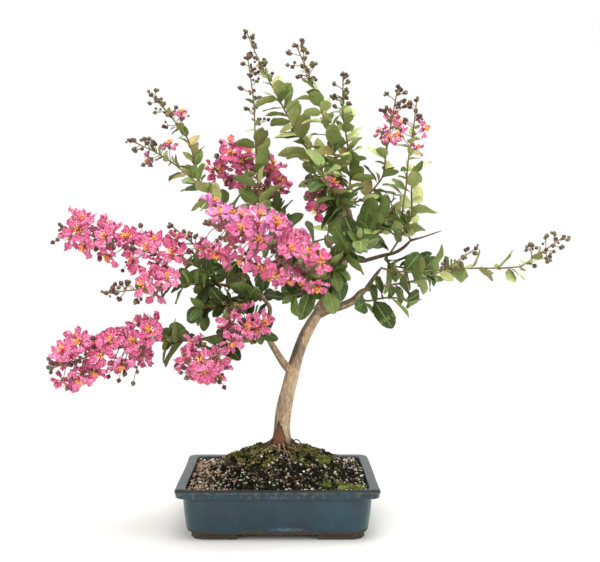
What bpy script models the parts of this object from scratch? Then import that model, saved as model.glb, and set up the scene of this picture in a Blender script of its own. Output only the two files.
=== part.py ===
# A crepe myrtle grown as a bonsai: a forked trunk with surface roots, leafy shoots, panicles of ruffled
# florets and sprays of round buds, standing in soil in a glazed clay pot on four corner feet.
# The tables are in millimetres: +X right, -Y front, +Z up, from a point in the middle of the pot, 60 mm
# under its rim. At the end everything is moved so that the feet stand at zero.

import math
import random

import bpy
import numpy as np
from mathutils.bvhtree import BVHTree

MM = 0.001
CLEAR = 0.3  # gap between pieces that touch
SOCKET_CLEAR = 0.42  # gap round the trunk and roots in the soil, where flat sides cut corners
GOLDEN_ANGLE = math.radians(137.5)

# Pot
RIM_LENGTH = 254.0
RIM_DEPTH = 204.0
RIM_TOP = 60.0
POT_HEIGHT = 63.5
LIP_HEIGHT = 9.4
LIP_WIDTH = 13.0  # seen from above
LIP_CORNER = 12.0
LIP_EASE = 1.2  # worn edges of the lip
BODY_INSET = 8.5  # body top, in from the lip
BODY_TAPER = 4.0  # body bottom, further in
BODY_CORNER = 25.0
UNDER_CURVE = 8.5  # radius where the wall turns under
UNDER_STEPS = 3
WALL_SLOPE = 9.0  # inner wall, in from top to floor
FOOT_HEIGHT = 5.5
FOOT_REACH = 58.0  # along the long side
FOOT_RETURN = 46.0  # along the short side
FOOT_WIDTH = 15.0
FOOT_SINK = 2.0
FLOOR_THICKNESS = 5.0
DRAIN_RADIUS = 8.0
DRAIN_SPACING = 110.0
DRAIN_SIDES = 14
CORNER_STEPS = 3

# Drain screens and soil
SCREEN_SIZE = 27.0
SCREEN_THICKNESS = 0.9
SCREEN_SLOTS = 3
SOIL_BELOW_RIM = 4.0
MOUND_HEIGHT = 41.0
MOUND_POWER = 1.6  # how square the shoulders of the mound are
SOIL_LOOPS = 7
SOIL_SIDE_STEPS = 1  # points added along each wall
OVAL_SOON = 2.2  # how soon the mound's outline turns from the pot's to an oval
TRUNK_X = 5.0  # the trunk stands just right of the pot's middle

# Trunk, with its radius at each point
TRUNK_POINTS = [(5, 0, 62), (5, 0, 96), (5, 0, 120), (8, -2, 146), (14, -4, 172), (20, -5, 195),
                (27, -5, 218), (36, -3, 241), (47, 0, 261), (55, 2, 273)]
TRUNK_RADII = [11, 13.2, 10.9, 9.9, 9.3, 8.9, 8.2, 7.7, 7.3, 7]
TRUNK_SIDES = 8
TRUNK_STEP = 16.0
LIMB_SIDES = 5
LIMB_STEP = 24.0

# Limbs and twigs: what each grows from, its radius at foot and end, and its points
LIMBS = {
    "leader": ("trunk", 5.8, 2.6, [(60, 5, 285), (66, 9, 304), (82, 12, 325), (95, 14, 347), (100, 12, 374),
                                   (97, 6, 399), (91, 2, 416)]),
    "right_limb": ("trunk", 6.2, 4.4, [(68, -5, 276), (85, -13, 281), (100, -19, 288), (107, -22, 298),
                                       (116, -26, 304)]),
    "left_limb": ("trunk", 4.4, 3.2, [(10, -10, 201), (-4, -19, 224), (-12, -27, 239), (-16, -30, 250)]),
    "left_twig": ("left_limb", 2.9, 2.1, [(-12, -34, 265), (-9, -36, 280), (-22, -40, 296),
                                          (-50, -46, 305), (-76, -55, 312)]),
    "low_limb": ("left_limb", 2.8, 2.1, [(-32, -38, 250), (-52, -46, 247), (-78, -54, 245),
                                         (-105, -62, 240)]),
    "back_limb": ("leader", 3.4, 2.1, [(44, 22, 330), (12, 35, 352), (-22, 44, 374), (-58, 50, 400)]),
    "right_branch": ("leader", 3.0, 2.1, [(112, 22, 338), (141, 30, 346), (160, 32, 350),
                                          (172, 30, 358), (180, 28, 367)]),
    "bare_twig": ("right_branch", 1.2, 0.8, [(196, 30, 371), (222, 30, 380)]),
    "back_twig": ("leader", 2.8, 2.1, [(82, 45, 338), (76, 82, 356), (70, 115, 370)]),
    "front_twig": ("leader", 2.8, 2.1, [(80, -28, 318), (76, -58, 328), (76, -88, 338)]),
    "knob_twig": ("right_limb", 2.5, 2.1, [(124, -26, 318), (135, -20, 331)]),
    "knob_stub": ("right_limb", 2.5, 2.1, [(130, -30, 307), (144, -34, 309)]),
}

# Surface roots: heading from the trunk in degrees, length and foot radius
ROOTS = [(212, 50, 2.8), (262, 44, 2.6), (318, 54, 3.0), (25, 52, 2.6), (112, 58, 2.8)]
ROOT_TIP = 1.1
ROOT_DIVE = 7.0  # how deep the tip goes under the soil
ROOT_WANDER = 5.0
ROOT_POINTS = 6

# Shoots of the year: what each grows from, its leafy points, leaves and their length; then the points of
# the flower stalk that follows, its florets, buds and spread
SHOOTS = {
    "low_left": ("low_limb", [(-122, -68, 241), (-142, -75, 243)], 5, 39,
                 [(-205, -92, 232), (-272, -104, 212)], 12, 5, 31),
    "far_left": ("left_twig", [(-92, -58, 328), (-115, -58, 340)], 4, 36,
                 [(-160, -56, 350), (-215, -46, 366), (-275, -40, 384)], 12, 6, 27),
    "mid_left": ("left_twig", [(-96, -72, 312), (-124, -90, 312)], 4, 34,
                 [(-165, -98, 307), (-205, -105, 303)], 3, 6, 18),
    "low_centre": ("low_limb", [(-64, -70, 240), (-76, -90, 236)], 4, 36,
                   [(-84, -104, 222), (-90, -112, 204)], 6, 2, 27),
    "low_front": ("low_limb", [(-26, -56, 254), (-32, -80, 262)], 4, 36,
                  [(-42, -100, 262), (-62, -114, 256)], 6, 2, 24),
    "centre": ("front_twig", [(52, -62, 336), (34, -72, 342)], 4, 39,
               [(4, -86, 354), (-38, -100, 372), (-84, -108, 386)], 14, 3, 40),
    "centre_right": ("front_twig", [(70, -100, 330), (58, -112, 332)], 4, 39,
                     [(36, -122, 336), (0, -132, 340)], 7, 2, 28),
    "top": ("leader", [(66, 14, 448), (42, 20, 485), (16, 25, 530), (-6, 28, 572)], 11, 36,
            [(-22, 30, 602), (-42, 30, 648)], 0, 7, 16),
    "top_middle": ("leader", [(84, -8, 452), (72, -15, 485), (58, -24, 532), (48, -28, 560)], 9, 34,
                   [(38, -30, 586), (25, -30, 616)], 0, 8, 26),
    "top_side": ("leader", [(97, 10, 455), (92, 8, 500), (86, 4, 535)], 8, 34,
                 [(86, 0, 560), (86, -4, 584)], 0, 6, 16),
    "back_bloom": ("back_limb", [(10, 54, 384), (-2, 66, 420)], 5, 36,
                   [(-32, 74, 456), (-84, 80, 486)], 9, 2, 30),
    "left_spire": ("back_limb", [(-24, 34, 404), (-27, 40, 440), (-30, 48, 480), (-32, 56, 512)], 6, 34,
                   [(-34, 60, 560), (-42, 60, 618)], 0, 7, 20),
    "upper_left": ("back_limb", [(-86, 46, 422), (-110, 40, 448), (-116, 35, 485), (-124, 32, 508)], 7, 32,
                   [(-146, 28, 536), (-170, 25, 562)], 1, 8, 20),
    "side_left": ("back_limb", [(-46, 22, 384), (-86, 14, 424), (-140, 18, 470)], 6, 32,
                  [(-165, 18, 486), (-196, 15, 500)], 2, 6, 20),
    "right_top": ("leader", [(118, 14, 424), (142, 20, 452), (146, 20, 488)], 7, 34,
                  [(152, 16, 524), (160, 10, 570)], 4, 6, 20),
    "right_spire": ("right_branch", [(164, 0, 392), (168, -14, 436), (170, -20, 472)], 6, 34,
                    [(176, -25, 510), (180, -25, 546)], 3, 5, 19),
    "right_green": ("right_branch", [(182, 26, 400), (180, 24, 434), (184, 16, 470)], 8, 41, [], 0, 0, 0),
    "far_right": ("knob_twig", [(150, -24, 326), (190, -20, 326), (245, -10, 330), (300, 0, 330),
                                (324, 3, 332)], 9, 36,
                  [(350, 6, 350), (380, 10, 370)], 0, 8, 20),
    "right_buds": ("knob_stub", [(170, -44, 314), (200, -44, 322)], 4, 36,
                   [(228, -36, 338), (254, -30, 355)], 0, 5, 12),
    "right_low": ("right_limb", [(112, -36, 287), (134, -50, 294), (156, -60, 294), (172, -70, 284)], 6, 43,
                  [], 0, 0, 0),
    "right_middle": ("right_branch", [(150, 8, 332), (176, 10, 330), (202, 14, 322)], 7, 39, [], 0, 0, 0),
    "left_low": ("left_twig", [(-34, -62, 292), (-62, -72, 286), (-100, -80, 282)], 6, 36, [], 0, 0, 0),
    "left_fan": ("left_twig", [(-80, -66, 292), (-96, -76, 272)], 5, 39, [], 0, 0, 0),
    "left_up": ("left_twig", [(-66, -34, 330), (-90, -26, 346)], 5, 36,
                [(-112, -26, 364), (-136, -28, 384)], 0, 5, 14),
    "inner_left": ("left_twig", [(-20, -14, 300), (-42, 6, 310), (-74, 18, 326)], 7, 39, [], 0, 0, 0),
    "front_crown": ("front_twig", [(90, -104, 352), (100, -124, 372)], 6, 39, [], 0, 0, 0),
    "front_left": ("front_twig", [(60, -84, 314), (34, -104, 304), (12, -112, 298)], 7, 39, [], 0, 0, 0),
    "crown_middle": ("leader", [(112, -20, 372), (134, -44, 388)], 6, 41, [], 0, 0, 0),
    "right_inner": ("leader", [(124, 0, 386), (152, -20, 402)], 6, 39, [], 0, 0, 0),
    "front_upper": ("leader", [(80, -30, 418), (60, -62, 438), (52, -84, 464)], 8, 39, [], 0, 0, 0),
    "heart_bloom": ("leader", [(70, -18, 412)], 3, 36, [(54, -32, 426), (44, -40, 446)], 4, 2, 22),
    "back_crown": ("back_twig", [(78, 136, 394), (84, 152, 434)], 7, 39, [], 0, 0, 0),
    "back_right": ("back_twig", [(106, 104, 366), (146, 120, 384), (178, 126, 402)], 7, 39, [], 0, 0, 0),
    "back_low": ("back_twig", [(40, 132, 362), (0, 148, 360), (-36, 152, 366)], 7, 39, [], 0, 0, 0),
    "back_upper": ("leader", [(84, 50, 404), (62, 86, 436), (50, 104, 474)], 7, 39, [], 0, 0, 0),
}

# Stems, leaves, florets and buds
STEM_SIDES = 3
STALK_SIDES = 3
STEM_FOOT = 1.8
STEM_END = 1.5
STALK_FOOT = 1.5
STALK_END = 1.15
STALK_ROOT = 0.42  # thin end of a floret's, bud's or leaf's own stalk
STEM_STEP = 28.0
BUDS_APART = 6.0  # between places on a limb that a shoot may grow from
BUD_PLACES = 12
LEAF_LEAN = (48, 66)  # from the stem, in degrees
LEAF_LOOK_UP = 0.55
LEAF_LOOK_OUT = 0.75
LEAF_LOOK_ASTRAY = 0.55
LEAF_HALF_WIDTH = 0.29  # of its length
LEAF_THICKNESS = 1.2  # at the rib
LEAF_OUTLINE = [(0.36, 0.98), (0.75, 0.84)]  # along the leaf, and share of the half width
LEAF_FOLD = 0.3  # rise of the edges from the rib
LEAF_DROOP = 0.12
FLORET_RADIUS = 17.5
FLORET_THICKNESS = 1.3
PETALS = 6
PETAL_SPREAD = 0.4  # half angle of a petal's outer edge
PETAL_LIFTS = (0.1, 0.34, 0.2)  # rise of the outer edges, as a share of the radius
PETAL_TWIST = 0.1
NOTCH_RADIUS = 3.2
FLORET_REACH = (0.5, 1.0)  # share of the head's spread
BUD_RADIUS = 3.2
BUD_REACH = (0.55, 1.0)
BUD_SIDES = 4
CROWN_MIDDLE = (60.0, 0.0, 350.0)
FEW_FLORETS = 4  # a head with no more than this many has them near its foot
LEAF_SWAY = 0.35  # turn off the middle of the stem's side face, in radians
STALK_SWAY = 0.6
TRIES = 40
KEEP_OFF = 0.5  # growth of a shape when it is tested against its neighbours

# Colours: base colour, roughness and metallic
COLOURS = {
    "glaze": ((0.055, 0.115, 0.165), 0.3, 0.0),
    "soil": ((0.07, 0.055, 0.04), 0.95, 0.0),
    "screen": ((0.03, 0.03, 0.03), 0.6, 0.0),
    "bark": ((0.42, 0.31, 0.22), 0.8, 0.0),
    "leaf": ((0.09, 0.2, 0.04), 0.5, 0.0),
    "petal": ((0.8, 0.1, 0.35), 0.6, 0.0),
    "bud": ((0.2, 0.12, 0.09), 0.55, 0.0),
}


def unit(vector):
    """The vector at length one."""
    vector = np.asarray(vector, float)
    return vector / np.linalg.norm(vector)


def curve_through(points, step):
    """A smooth curve through the points, read about every step millimetres."""
    points = np.asarray(points, float)
    ends = np.vstack([2 * points[0] - points[1], points, 2 * points[-1] - points[-2]])
    curve = []
    for index in range(len(points) - 1):
        before, here, there, after = ends[index:index + 4]
        count = max(1, round(np.linalg.norm(there - here) / step))
        for share in np.arange(count) / count:
            curve.append(0.5 * (2 * here + (there - before) * share
                                + (2 * before - 5 * here + 4 * there - after) * share ** 2
                                + (3 * here - before - 3 * there + after) * share ** 3))
    curve.append(points[-1])
    return np.array(curve)


def lengths_along(curve):
    """Distance from the curve's start to each of its points."""
    return np.concatenate([[0.0], np.cumsum(np.linalg.norm(np.diff(curve, axis=0), axis=1))])


def point_at(curve, distance):
    """The curve's point at a distance from its start."""
    along = lengths_along(curve)
    return np.array([np.interp(distance, along, curve[:, axis]) for axis in range(3)])


def piece_of(curve, start, end):
    """The stretch of a curve between two distances from its start."""
    along = lengths_along(curve)
    margin = 1.5
    inner = curve[(along > start + margin) & (along < end - margin)]
    return np.vstack([point_at(curve, start), inner, point_at(curve, end)])


def nearest_on(curve, target):
    """Index of the curve's point nearest to the target."""
    return int(np.argmin(np.linalg.norm(curve - np.asarray(target, float), axis=1)))


def distance_nearest(curve, target):
    """Distance along the curve, to the millimetre, of its place nearest to the target."""
    distances = np.arange(0, lengths_along(curve)[-1] + 1)
    along = lengths_along(curve)
    places = np.column_stack([np.interp(distances, along, curve[:, axis]) for axis in range(3)])
    return float(distances[nearest_on(places, target)])


def frames_along(curve):
    """Tangent, side and normal at each point, carried along without twist."""
    tangents = np.gradient(curve, axis=0)
    tangents /= np.linalg.norm(tangents, axis=1)[:, None]
    helper = np.array([0.0, 1.0, 0.0]) if abs(tangents[0][1]) < 0.9 else np.array([1.0, 0.0, 0.0])
    side = unit(np.cross(helper, tangents[0]))
    sides = []
    for tangent in tangents:
        side = unit(side - tangent * np.dot(side, tangent))
        sides.append(side)
    sides = np.array(sides)
    return tangents, sides, np.cross(tangents, sides)


def skin(rings, tip=None):
    """Closed shell over rings of equal count, each counter-clockwise seen from its front end."""
    rings = [np.asarray(ring, float) for ring in rings]
    count = len(rings[0])
    points = np.vstack(rings + ([[tip]] if tip is not None else []))
    faces = [tuple(reversed(range(count)))]
    for level in range(len(rings) - 1):
        low = level * count
        for index in range(count):
            following = (index + 1) % count
            faces.append((low + index, low + following, low + count + following, low + count + index))
    last = (len(rings) - 1) * count
    if tip is None:
        faces.append(tuple(range(last, last + count)))
    else:
        faces += [(last + index, last + (index + 1) % count, len(points) - 1) for index in range(count)]
    return points, faces


def tube(curve, radii, sides):
    """Closed tube along a curve, with a radius for each point."""
    radii = np.broadcast_to(radii, len(curve))
    _, across, up = frames_along(curve)
    angles = np.arange(sides) * 2 * math.pi / sides
    rings = [centre + radius * (np.outer(np.cos(angles), side) + np.outer(np.sin(angles), normal))
             for centre, radius, side, normal in zip(curve, radii, across, up)]
    return skin(rings)


def taper(curve, foot, end):
    """Radii that run evenly from the foot to the end of a curve."""
    along = lengths_along(curve)
    return foot + (end - foot) * along / along[-1]


def placed(local_points, origin, forward, normal):
    """Local points (x forward, y across, z normal) moved to their place."""
    forward = unit(forward)
    normal = unit(normal - forward * np.dot(normal, forward))
    return origin + np.asarray(local_points) @ np.array([forward, np.cross(normal, forward), normal])


def leaf_shell(origin, forward, normal, length, growth=0.0):
    """Oval blade folded along its rib, with a sharp edge, on a narrow foot: x forward, y across."""
    half_width = length * LEAF_HALF_WIDTH + growth
    half_thick = LEAF_THICKNESS / 2 + growth
    outline = [(share * length, width * half_width) for share, width in LEAF_OUTLINE]
    left = [(x, y, LEAF_FOLD * y - LEAF_DROOP * x * x / length) for x, y in outline]
    right = [(x, -y, z) for x, y, z in reversed(left)]
    tip = (length + growth, 0, -LEAF_DROOP * length)
    rib = -LEAF_DROOP * length / 4
    foot = STALK_ROOT + growth
    ring = [(0, 0, foot)] + left + [tip] + right + [(0, 0, -foot)]
    under = len(ring) - 1
    points = ring + [(length / 2, 0, rib + half_thick), (length / 2, 0, rib - half_thick)]
    top, bottom = under + 1, under + 2
    faces = [(index + 1, index, top) for index in range(under - 1)] + [(0, under - 1, top)]
    faces += [(index, index + 1, bottom) for index in range(1, under)] + [(under, 1, bottom)]
    faces += [(0, 1, under), (under - 1, 0, under)]
    return placed(points, origin, forward, normal), faces


def floret_shell(foot, centre, facing, spin, growth=0.0):
    """Six broad petals on narrow claws round a calyx, with a stalk back to its foot: z faces outwards."""
    radius = FLORET_RADIUS + growth
    half_thick = FLORET_THICKNESS / 2 + growth / 2
    step = 2 * math.pi / PETALS
    points = []
    for petal in range(PETALS):
        angle = petal * step
        lift = PETAL_LIFTS[petal % len(PETAL_LIFTS)] * radius
        x = NOTCH_RADIUS * math.cos(angle - step / 2)
        y = NOTCH_RADIUS * math.sin(angle - step / 2)
        points += [(x, y, half_thick), (x, y, -half_thick)]
        for turn, twist in ((-PETAL_SPREAD, -PETAL_TWIST), (PETAL_SPREAD, PETAL_TWIST)):
            points.append((radius * math.cos(angle + turn), radius * math.sin(angle + turn),
                           lift + twist * radius))
    per_petal = 4
    count = len(points)
    uppers = list(range(0, count, per_petal))
    lowers = list(range(1, count, per_petal))
    faces = [tuple(uppers)]
    for petal in range(PETALS):
        upper, lower = uppers[petal], lowers[petal]
        first, second = lower + 1, lower + 2
        next_upper, next_lower = uppers[(petal + 1) % PETALS], lowers[(petal + 1) % PETALS]
        faces += [(upper, first, second), (upper, second, next_upper)]
        faces += [(lower, second, first), (lower, next_lower, second)]
        faces += [(upper, lower, first), (next_upper, second, next_lower)]
    facing = unit(facing)
    side = unit(np.cross(facing, (0.31, 0.52, 0.79)))
    turned = math.cos(spin) * side + math.sin(spin) * np.cross(facing, side)
    basis = np.array([turned, np.cross(facing, turned), facing])
    world = centre + np.array(points) @ basis
    angles = np.arange(STALK_SIDES) * 2 * math.pi / STALK_SIDES
    circle = np.column_stack([np.cos(angles), np.sin(angles), np.zeros(STALK_SIDES)])
    root = foot - unit(centre - foot) * 0.2 + (STALK_ROOT + growth / 2) * circle @ basis
    start = len(world)
    for index in range(STALK_SIDES):
        following = (index + 1) % STALK_SIDES
        here, there = start + index, start + following
        first, second, third = [lowers[(2 * index + offset) % PETALS] for offset in range(3)]
        faces += [(second, first, here), (third, second, here), (third, here, there)]
    faces.append((start + 2, start + 1, start))
    return np.vstack([world, root]), faces


def bud_shell(foot, facing, length, growth=0.0):
    """Round bud on a thin stalk: x runs along the stalk."""
    radius = BUD_RADIUS + growth
    angles = np.arange(BUD_SIDES) * 2 * math.pi / BUD_SIDES
    circle = np.column_stack([np.zeros(BUD_SIDES), np.cos(angles), np.sin(angles)])
    stations = [(-0.2, STALK_ROOT), (length - radius, 0.6), (length, radius * 1.1)]
    rings = [np.array([x, 0, 0]) + r * circle for x, r in stations]
    points, faces = skin(rings, tip=(length + radius, 0, 0))
    return placed(points, foot, facing, np.array([0.2, 0.3, 0.93])), faces


class Space:
    """Shapes placed so far, each with its owner, to find what a new shape would cross."""

    def __init__(self):
        self.owners = []
        self.lows = np.empty((0, 3))
        self.highs = np.empty((0, 3))
        self.trees = []

    def add(self, owner, shell):
        points, faces = shell
        self.owners.append(owner)
        self.lows = np.vstack([self.lows, points.min(axis=0)])
        self.highs = np.vstack([self.highs, points.max(axis=0)])
        self.trees.append(BVHTree.FromPolygons(points.tolist(), faces))

    def crossed(self, shell):
        """Owners of the shapes that the shell crosses, with one entry for each."""
        points, faces = shell
        near = np.all((self.lows <= points.max(axis=0)) & (self.highs >= points.min(axis=0)), axis=1)
        tree = BVHTree.FromPolygons(points.tolist(), faces)
        return [self.owners[index] for index in np.flatnonzero(near) if self.trees[index].overlap(tree)]


def grow_wood():
    """Centre line and radii of the trunk and of each limb."""
    trunk = curve_through(TRUNK_POINTS, TRUNK_STEP)
    source = lengths_along(np.array(TRUNK_POINTS, float))
    share = lengths_along(trunk) / lengths_along(trunk)[-1]
    wood = {"trunk": (trunk, np.interp(share * source[-1], source, TRUNK_RADII))}
    for name, (parent, foot, end, points) in LIMBS.items():
        line = wood[parent][0]
        start = line[nearest_on(line, points[0])]
        curve = curve_through([start] + points, LIMB_STEP)
        wood[name] = (curve, taper(curve, foot, end))
    return wood


def mound(x, y):
    """Height of the soil's surface over a place in the pot."""
    reach = np.hypot((x - TRUNK_X) / (RIM_LENGTH / 2 - LIP_WIDTH), y / (RIM_DEPTH / 2 - LIP_WIDTH))
    ripple = 1.0 * np.sin(x * 0.11 + 1.0) * np.cos(y * 0.13) + 0.7 * np.sin(x * 0.23 - y * 0.19)
    return RIM_TOP - SOIL_BELOW_RIM + MOUND_HEIGHT * (1 - np.minimum(reach, 1) ** MOUND_POWER) + ripple


def grow_roots(growth=0.0):
    """Surface roots, half sunk in the mound and diving at their tips."""
    roots = []
    for heading, length, radius in ROOTS:
        angle = math.radians(heading)
        distances = np.linspace(2, length, ROOT_POINTS)
        wander = ROOT_WANDER * np.sin(distances / 14 + heading)
        x = TRUNK_X + distances * math.cos(angle) - wander * math.sin(angle)
        y = distances * math.sin(angle) + wander * math.cos(angle)
        sink = ROOT_DIVE * (distances / length) ** 3
        curve = np.column_stack([x, y, mound(x, y) + 0.4 - sink])
        roots.append(tube(curve, taper(curve, radius, ROOT_TIP) + growth, STEM_SIDES))
    return roots


def shoot_line(name, wood, space):
    """Centre line of a shoot from its limb, where it clears the wood, and where its leafy part ends.

    Where it would cross an earlier shoot, it starts further down the limb.
    """
    parent, points, _, _, stalk = SHOOTS[name][:5]
    line = wood[parent][0]
    nearest = distance_nearest(line, points[0])
    for back in range(BUD_PLACES):
        start = point_at(line, max(0.0, nearest - back * BUDS_APART))
        curve = curve_through([start] + points + stalk, STEM_STEP)
        leafy_end = distance_nearest(curve, points[-1]) - 4
        free = 0.0
        while "trunk" in space.crossed(tube(piece_of(curve, free, leafy_end), STEM_FOOT + CLEAR, STEM_SIDES)):
            free += 0.3
        whole = piece_of(curve, free, lengths_along(curve)[-1])
        if not space.crossed(tube(whole, STEM_FOOT + 2 * CLEAR, STEM_SIDES)):
            break
    return curve, free + CLEAR, leafy_end


def face_turn(azimuth):
    """The middle of the stem's side face nearest to an azimuth."""
    side = 2 * math.pi / STEM_SIDES
    return (math.floor(azimuth / side) + 0.5) * side


def best_place(space, owner, draw, make):
    """First drawn shape that crosses nothing, or else the one that crosses fewest of its owner's own."""
    best = None
    fewest = 99
    for attempt in range(TRIES):
        plain, tested = make(draw, attempt / TRIES)
        crossed = space.crossed(tested)
        if any(other != owner and other != owner + " stem" for other in crossed):
            continue
        own = crossed.count(owner)
        if own < fewest:
            best, fewest = plain, own
        if own == 0:
            break
    return best


def leaf_maker(curve, distance, azimuth, length):
    """Draws a leaf at a distance along a stem: it leans out, and its face looks up and outwards."""
    index = nearest_on(curve, point_at(curve, distance))
    tangents, sides, normals = frames_along(curve)
    foot = point_at(curve, distance)
    outward = unit(foot - np.array(CROWN_MIDDLE))

    def make(draw, effort):
        turn = face_turn(azimuth + draw.uniform(-1, 1) * (0.3 + 2.2 * effort))
        turn += draw.uniform(-LEAF_SWAY, LEAF_SWAY)
        lean = math.radians(draw.uniform(*LEAF_LEAN) + 16 * effort * draw.uniform(-1, 1))
        radial = math.cos(turn) * sides[index] + math.sin(turn) * normals[index]
        forward = math.cos(lean) * tangents[index] + math.sin(lean) * radial
        face = LEAF_LOOK_UP * np.array([0, 0, 1.0]) + LEAF_LOOK_OUT * outward
        face = face + np.array([draw.uniform(-1, 1) for _ in range(3)]) * LEAF_LOOK_ASTRAY
        size = length * draw.uniform(0.82, 1.08) * (1 - 0.3 * effort)
        return leaf_shell(foot, forward, face, size), leaf_shell(foot, forward, face, size, KEEP_OFF)
    return make


def floret_maker(curve, distance, azimuth, spread):
    """Draws a floret round a flower stalk, on a stalk of its own that leans to the tip."""
    index = nearest_on(curve, point_at(curve, distance))
    tangents, sides, normals = frames_along(curve)
    foot = point_at(curve, distance)

    def make(draw, effort):
        turn = face_turn(azimuth + draw.uniform(-1, 1) * (0.35 + 2.6 * effort))
        turn += draw.uniform(-STALK_SWAY, STALK_SWAY)
        radial = math.cos(turn) * sides[index] + math.sin(turn) * normals[index]
        reach = spread * draw.uniform(*FLORET_REACH)
        centre = foot + radial * reach + tangents[index] * (4 + 0.35 * reach) + np.array([0, 0, 2.0])
        facing = radial + 0.35 * tangents[index] + np.array([0, 0, 0.3])
        facing = facing + np.array([draw.uniform(-1, 1) for _ in range(3)]) * 0.3
        spin = draw.uniform(0, math.pi / 3)
        return (floret_shell(foot, centre, facing, spin),
                floret_shell(foot, centre, facing, spin, KEEP_OFF))
    return make


def bud_maker(curve, distance, azimuth, spread):
    """Draws a bud near the tip of a flower stalk."""
    index = nearest_on(curve, point_at(curve, distance))
    tangents, sides, normals = frames_along(curve)
    foot = point_at(curve, distance)

    def make(draw, effort):
        turn = face_turn(azimuth + draw.uniform(-1, 1) * (0.3 + 2.6 * effort))
        turn += draw.uniform(-STALK_SWAY, STALK_SWAY)
        radial = math.cos(turn) * sides[index] + math.sin(turn) * normals[index]
        facing = unit(radial + draw.uniform(0.35, 0.8) * tangents[index])
        length = spread * draw.uniform(*BUD_REACH)
        return bud_shell(foot, facing, length), bud_shell(foot, facing, length, KEEP_OFF)
    return make


def lay_out(wood):
    """Shells of the wood, of each leafy shoot and of each flower stalk, with no crossing between them."""
    shells = {"trunk": [tube(curve, radii, TRUNK_SIDES if name == "trunk" else LIMB_SIDES)
                        for name, (curve, radii) in wood.items()]}
    space = Space()
    for shell in shells["trunk"]:
        space.add("trunk", shell)
    stems, stalks = {}, {}
    for name in SHOOTS:
        curve, free, leafy_end = shoot_line(name, wood, space)
        stems[name] = piece_of(curve, free, leafy_end)
        stem = tube(stems[name], taper(stems[name], STEM_FOOT, STEM_END), STEM_SIDES)
        shells["shoot_" + name] = [stem]
        space.add("shoot_" + name + " stem", stem)
        if SHOOTS[name][4]:
            stalks[name] = piece_of(curve, leafy_end + CLEAR, lengths_along(curve)[-1])
            stalk = tube(stalks[name], taper(stalks[name], STALK_FOOT, STALK_END), STALK_SIDES)
            shells["head_" + name] = [stalk]
            space.add("head_" + name + " stem", stalk)

    def scatter(owner, draw, makers):
        for make in makers:
            shell = best_place(space, owner, draw, make)
            if shell is not None:
                shells[owner].append(shell)
                space.add(owner, shell)

    for number, (name, stalk) in enumerate(stalks.items()):
        florets, spread = SHOOTS[name][5], SHOOTS[name][7]
        length = lengths_along(stalk)[-1] * (0.88 if florets > FEW_FLORETS else 0.5)
        scatter("head_" + name, random.Random(100 + number),
                [floret_maker(stalk, length * (0.04 + 0.96 * (index + 0.5) / florets), index * GOLDEN_ANGLE,
                              spread * (1 - 0.3 * index / florets)) for index in range(florets)])
    for number, (name, stalk) in enumerate(stalks.items()):
        florets, buds, spread = SHOOTS[name][5:8]
        length = lengths_along(stalk)[-1]
        first = 0.55 if florets > FEW_FLORETS else 0.12 + 0.09 * florets
        scatter("head_" + name, random.Random(200 + number),
                [bud_maker(stalk, length * (first + (0.99 - first) * (index + 0.5) / buds),
                           1 + index * GOLDEN_ANGLE, max(10.0, spread * (1.1 - 0.5 * index / buds)))
                 for index in range(buds)])
    for number, (name, stem) in enumerate(stems.items()):
        leaves, size = SHOOTS[name][2:4]
        length = lengths_along(stem)[-1]
        scatter("shoot_" + name, random.Random(300 + number),
                [leaf_maker(stem, length * (0.1 + 0.88 * (index + 0.5) / leaves),
                            number + index * GOLDEN_ANGLE, size * (1.12 - 0.3 * index / leaves))
                 for index in range(leaves)])
    return shells


def material(name):
    """Principled material from the table of colours."""
    made = bpy.data.materials.get(name)
    if made is None:
        colour, roughness, metallic = COLOURS[name]
        made = bpy.data.materials.new(name)
        made.use_nodes = True
        shader = made.node_tree.nodes["Principled BSDF"]
        shader.inputs["Base Color"].default_value = (*colour, 1)
        shader.inputs["Roughness"].default_value = roughness
        shader.inputs["Metallic"].default_value = metallic
        made.diffuse_color = (*colour, 1)
    return made


def add_object(name, shell, collection=None):
    """Mesh object from points in millimetres and faces."""
    points, faces = shell
    mesh = bpy.data.meshes.new(name)
    mesh.from_pydata((np.asarray(points) * MM).tolist(), [], faces)
    made = bpy.data.objects.new(name, mesh)
    (collection or bpy.context.scene.collection).objects.link(made)
    return made


def combine(target, shells, operation):
    """Joins closed shells to the target, or cuts them from it, and keeps the result as its mesh."""
    others = bpy.data.collections.new(target.name + " others")
    bpy.context.scene.collection.children.link(others)
    for shell in shells:
        add_object("other", shell, others)
    change = target.modifiers.new("combine", "BOOLEAN")
    change.operation = operation
    change.operand_type = "COLLECTION"
    change.collection = others
    change.solver = "MANIFOLD"
    evaluated = target.evaluated_get(bpy.context.evaluated_depsgraph_get())
    mesh = bpy.data.meshes.new_from_object(evaluated)
    target.modifiers.remove(change)
    target.data = mesh
    mesh.name = target.name
    for other in list(others.objects):
        bpy.data.objects.remove(other)
    bpy.data.collections.remove(others)


def fused(name, shells, finish):
    """One solid from shells that run into each other."""
    made = add_object(name, shells[0])
    if len(shells) > 1:
        combine(made, shells[1:], "UNION")
    made.data.materials.clear()
    made.data.materials.append(material(finish))
    return made


def rounded_loop(length, depth, corner, height):
    """Rounded rectangle at a height, counter-clockwise from above."""
    loop = []
    for quarter, (side_x, side_y) in enumerate(((1, 1), (-1, 1), (-1, -1), (1, -1))):
        for step in range(CORNER_STEPS + 1):
            angle = (quarter + step / CORNER_STEPS) * math.pi / 2
            loop.append((side_x * (length / 2 - corner) + corner * math.cos(angle),
                         side_y * (depth / 2 - corner) + corner * math.sin(angle), height))
    return loop


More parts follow.
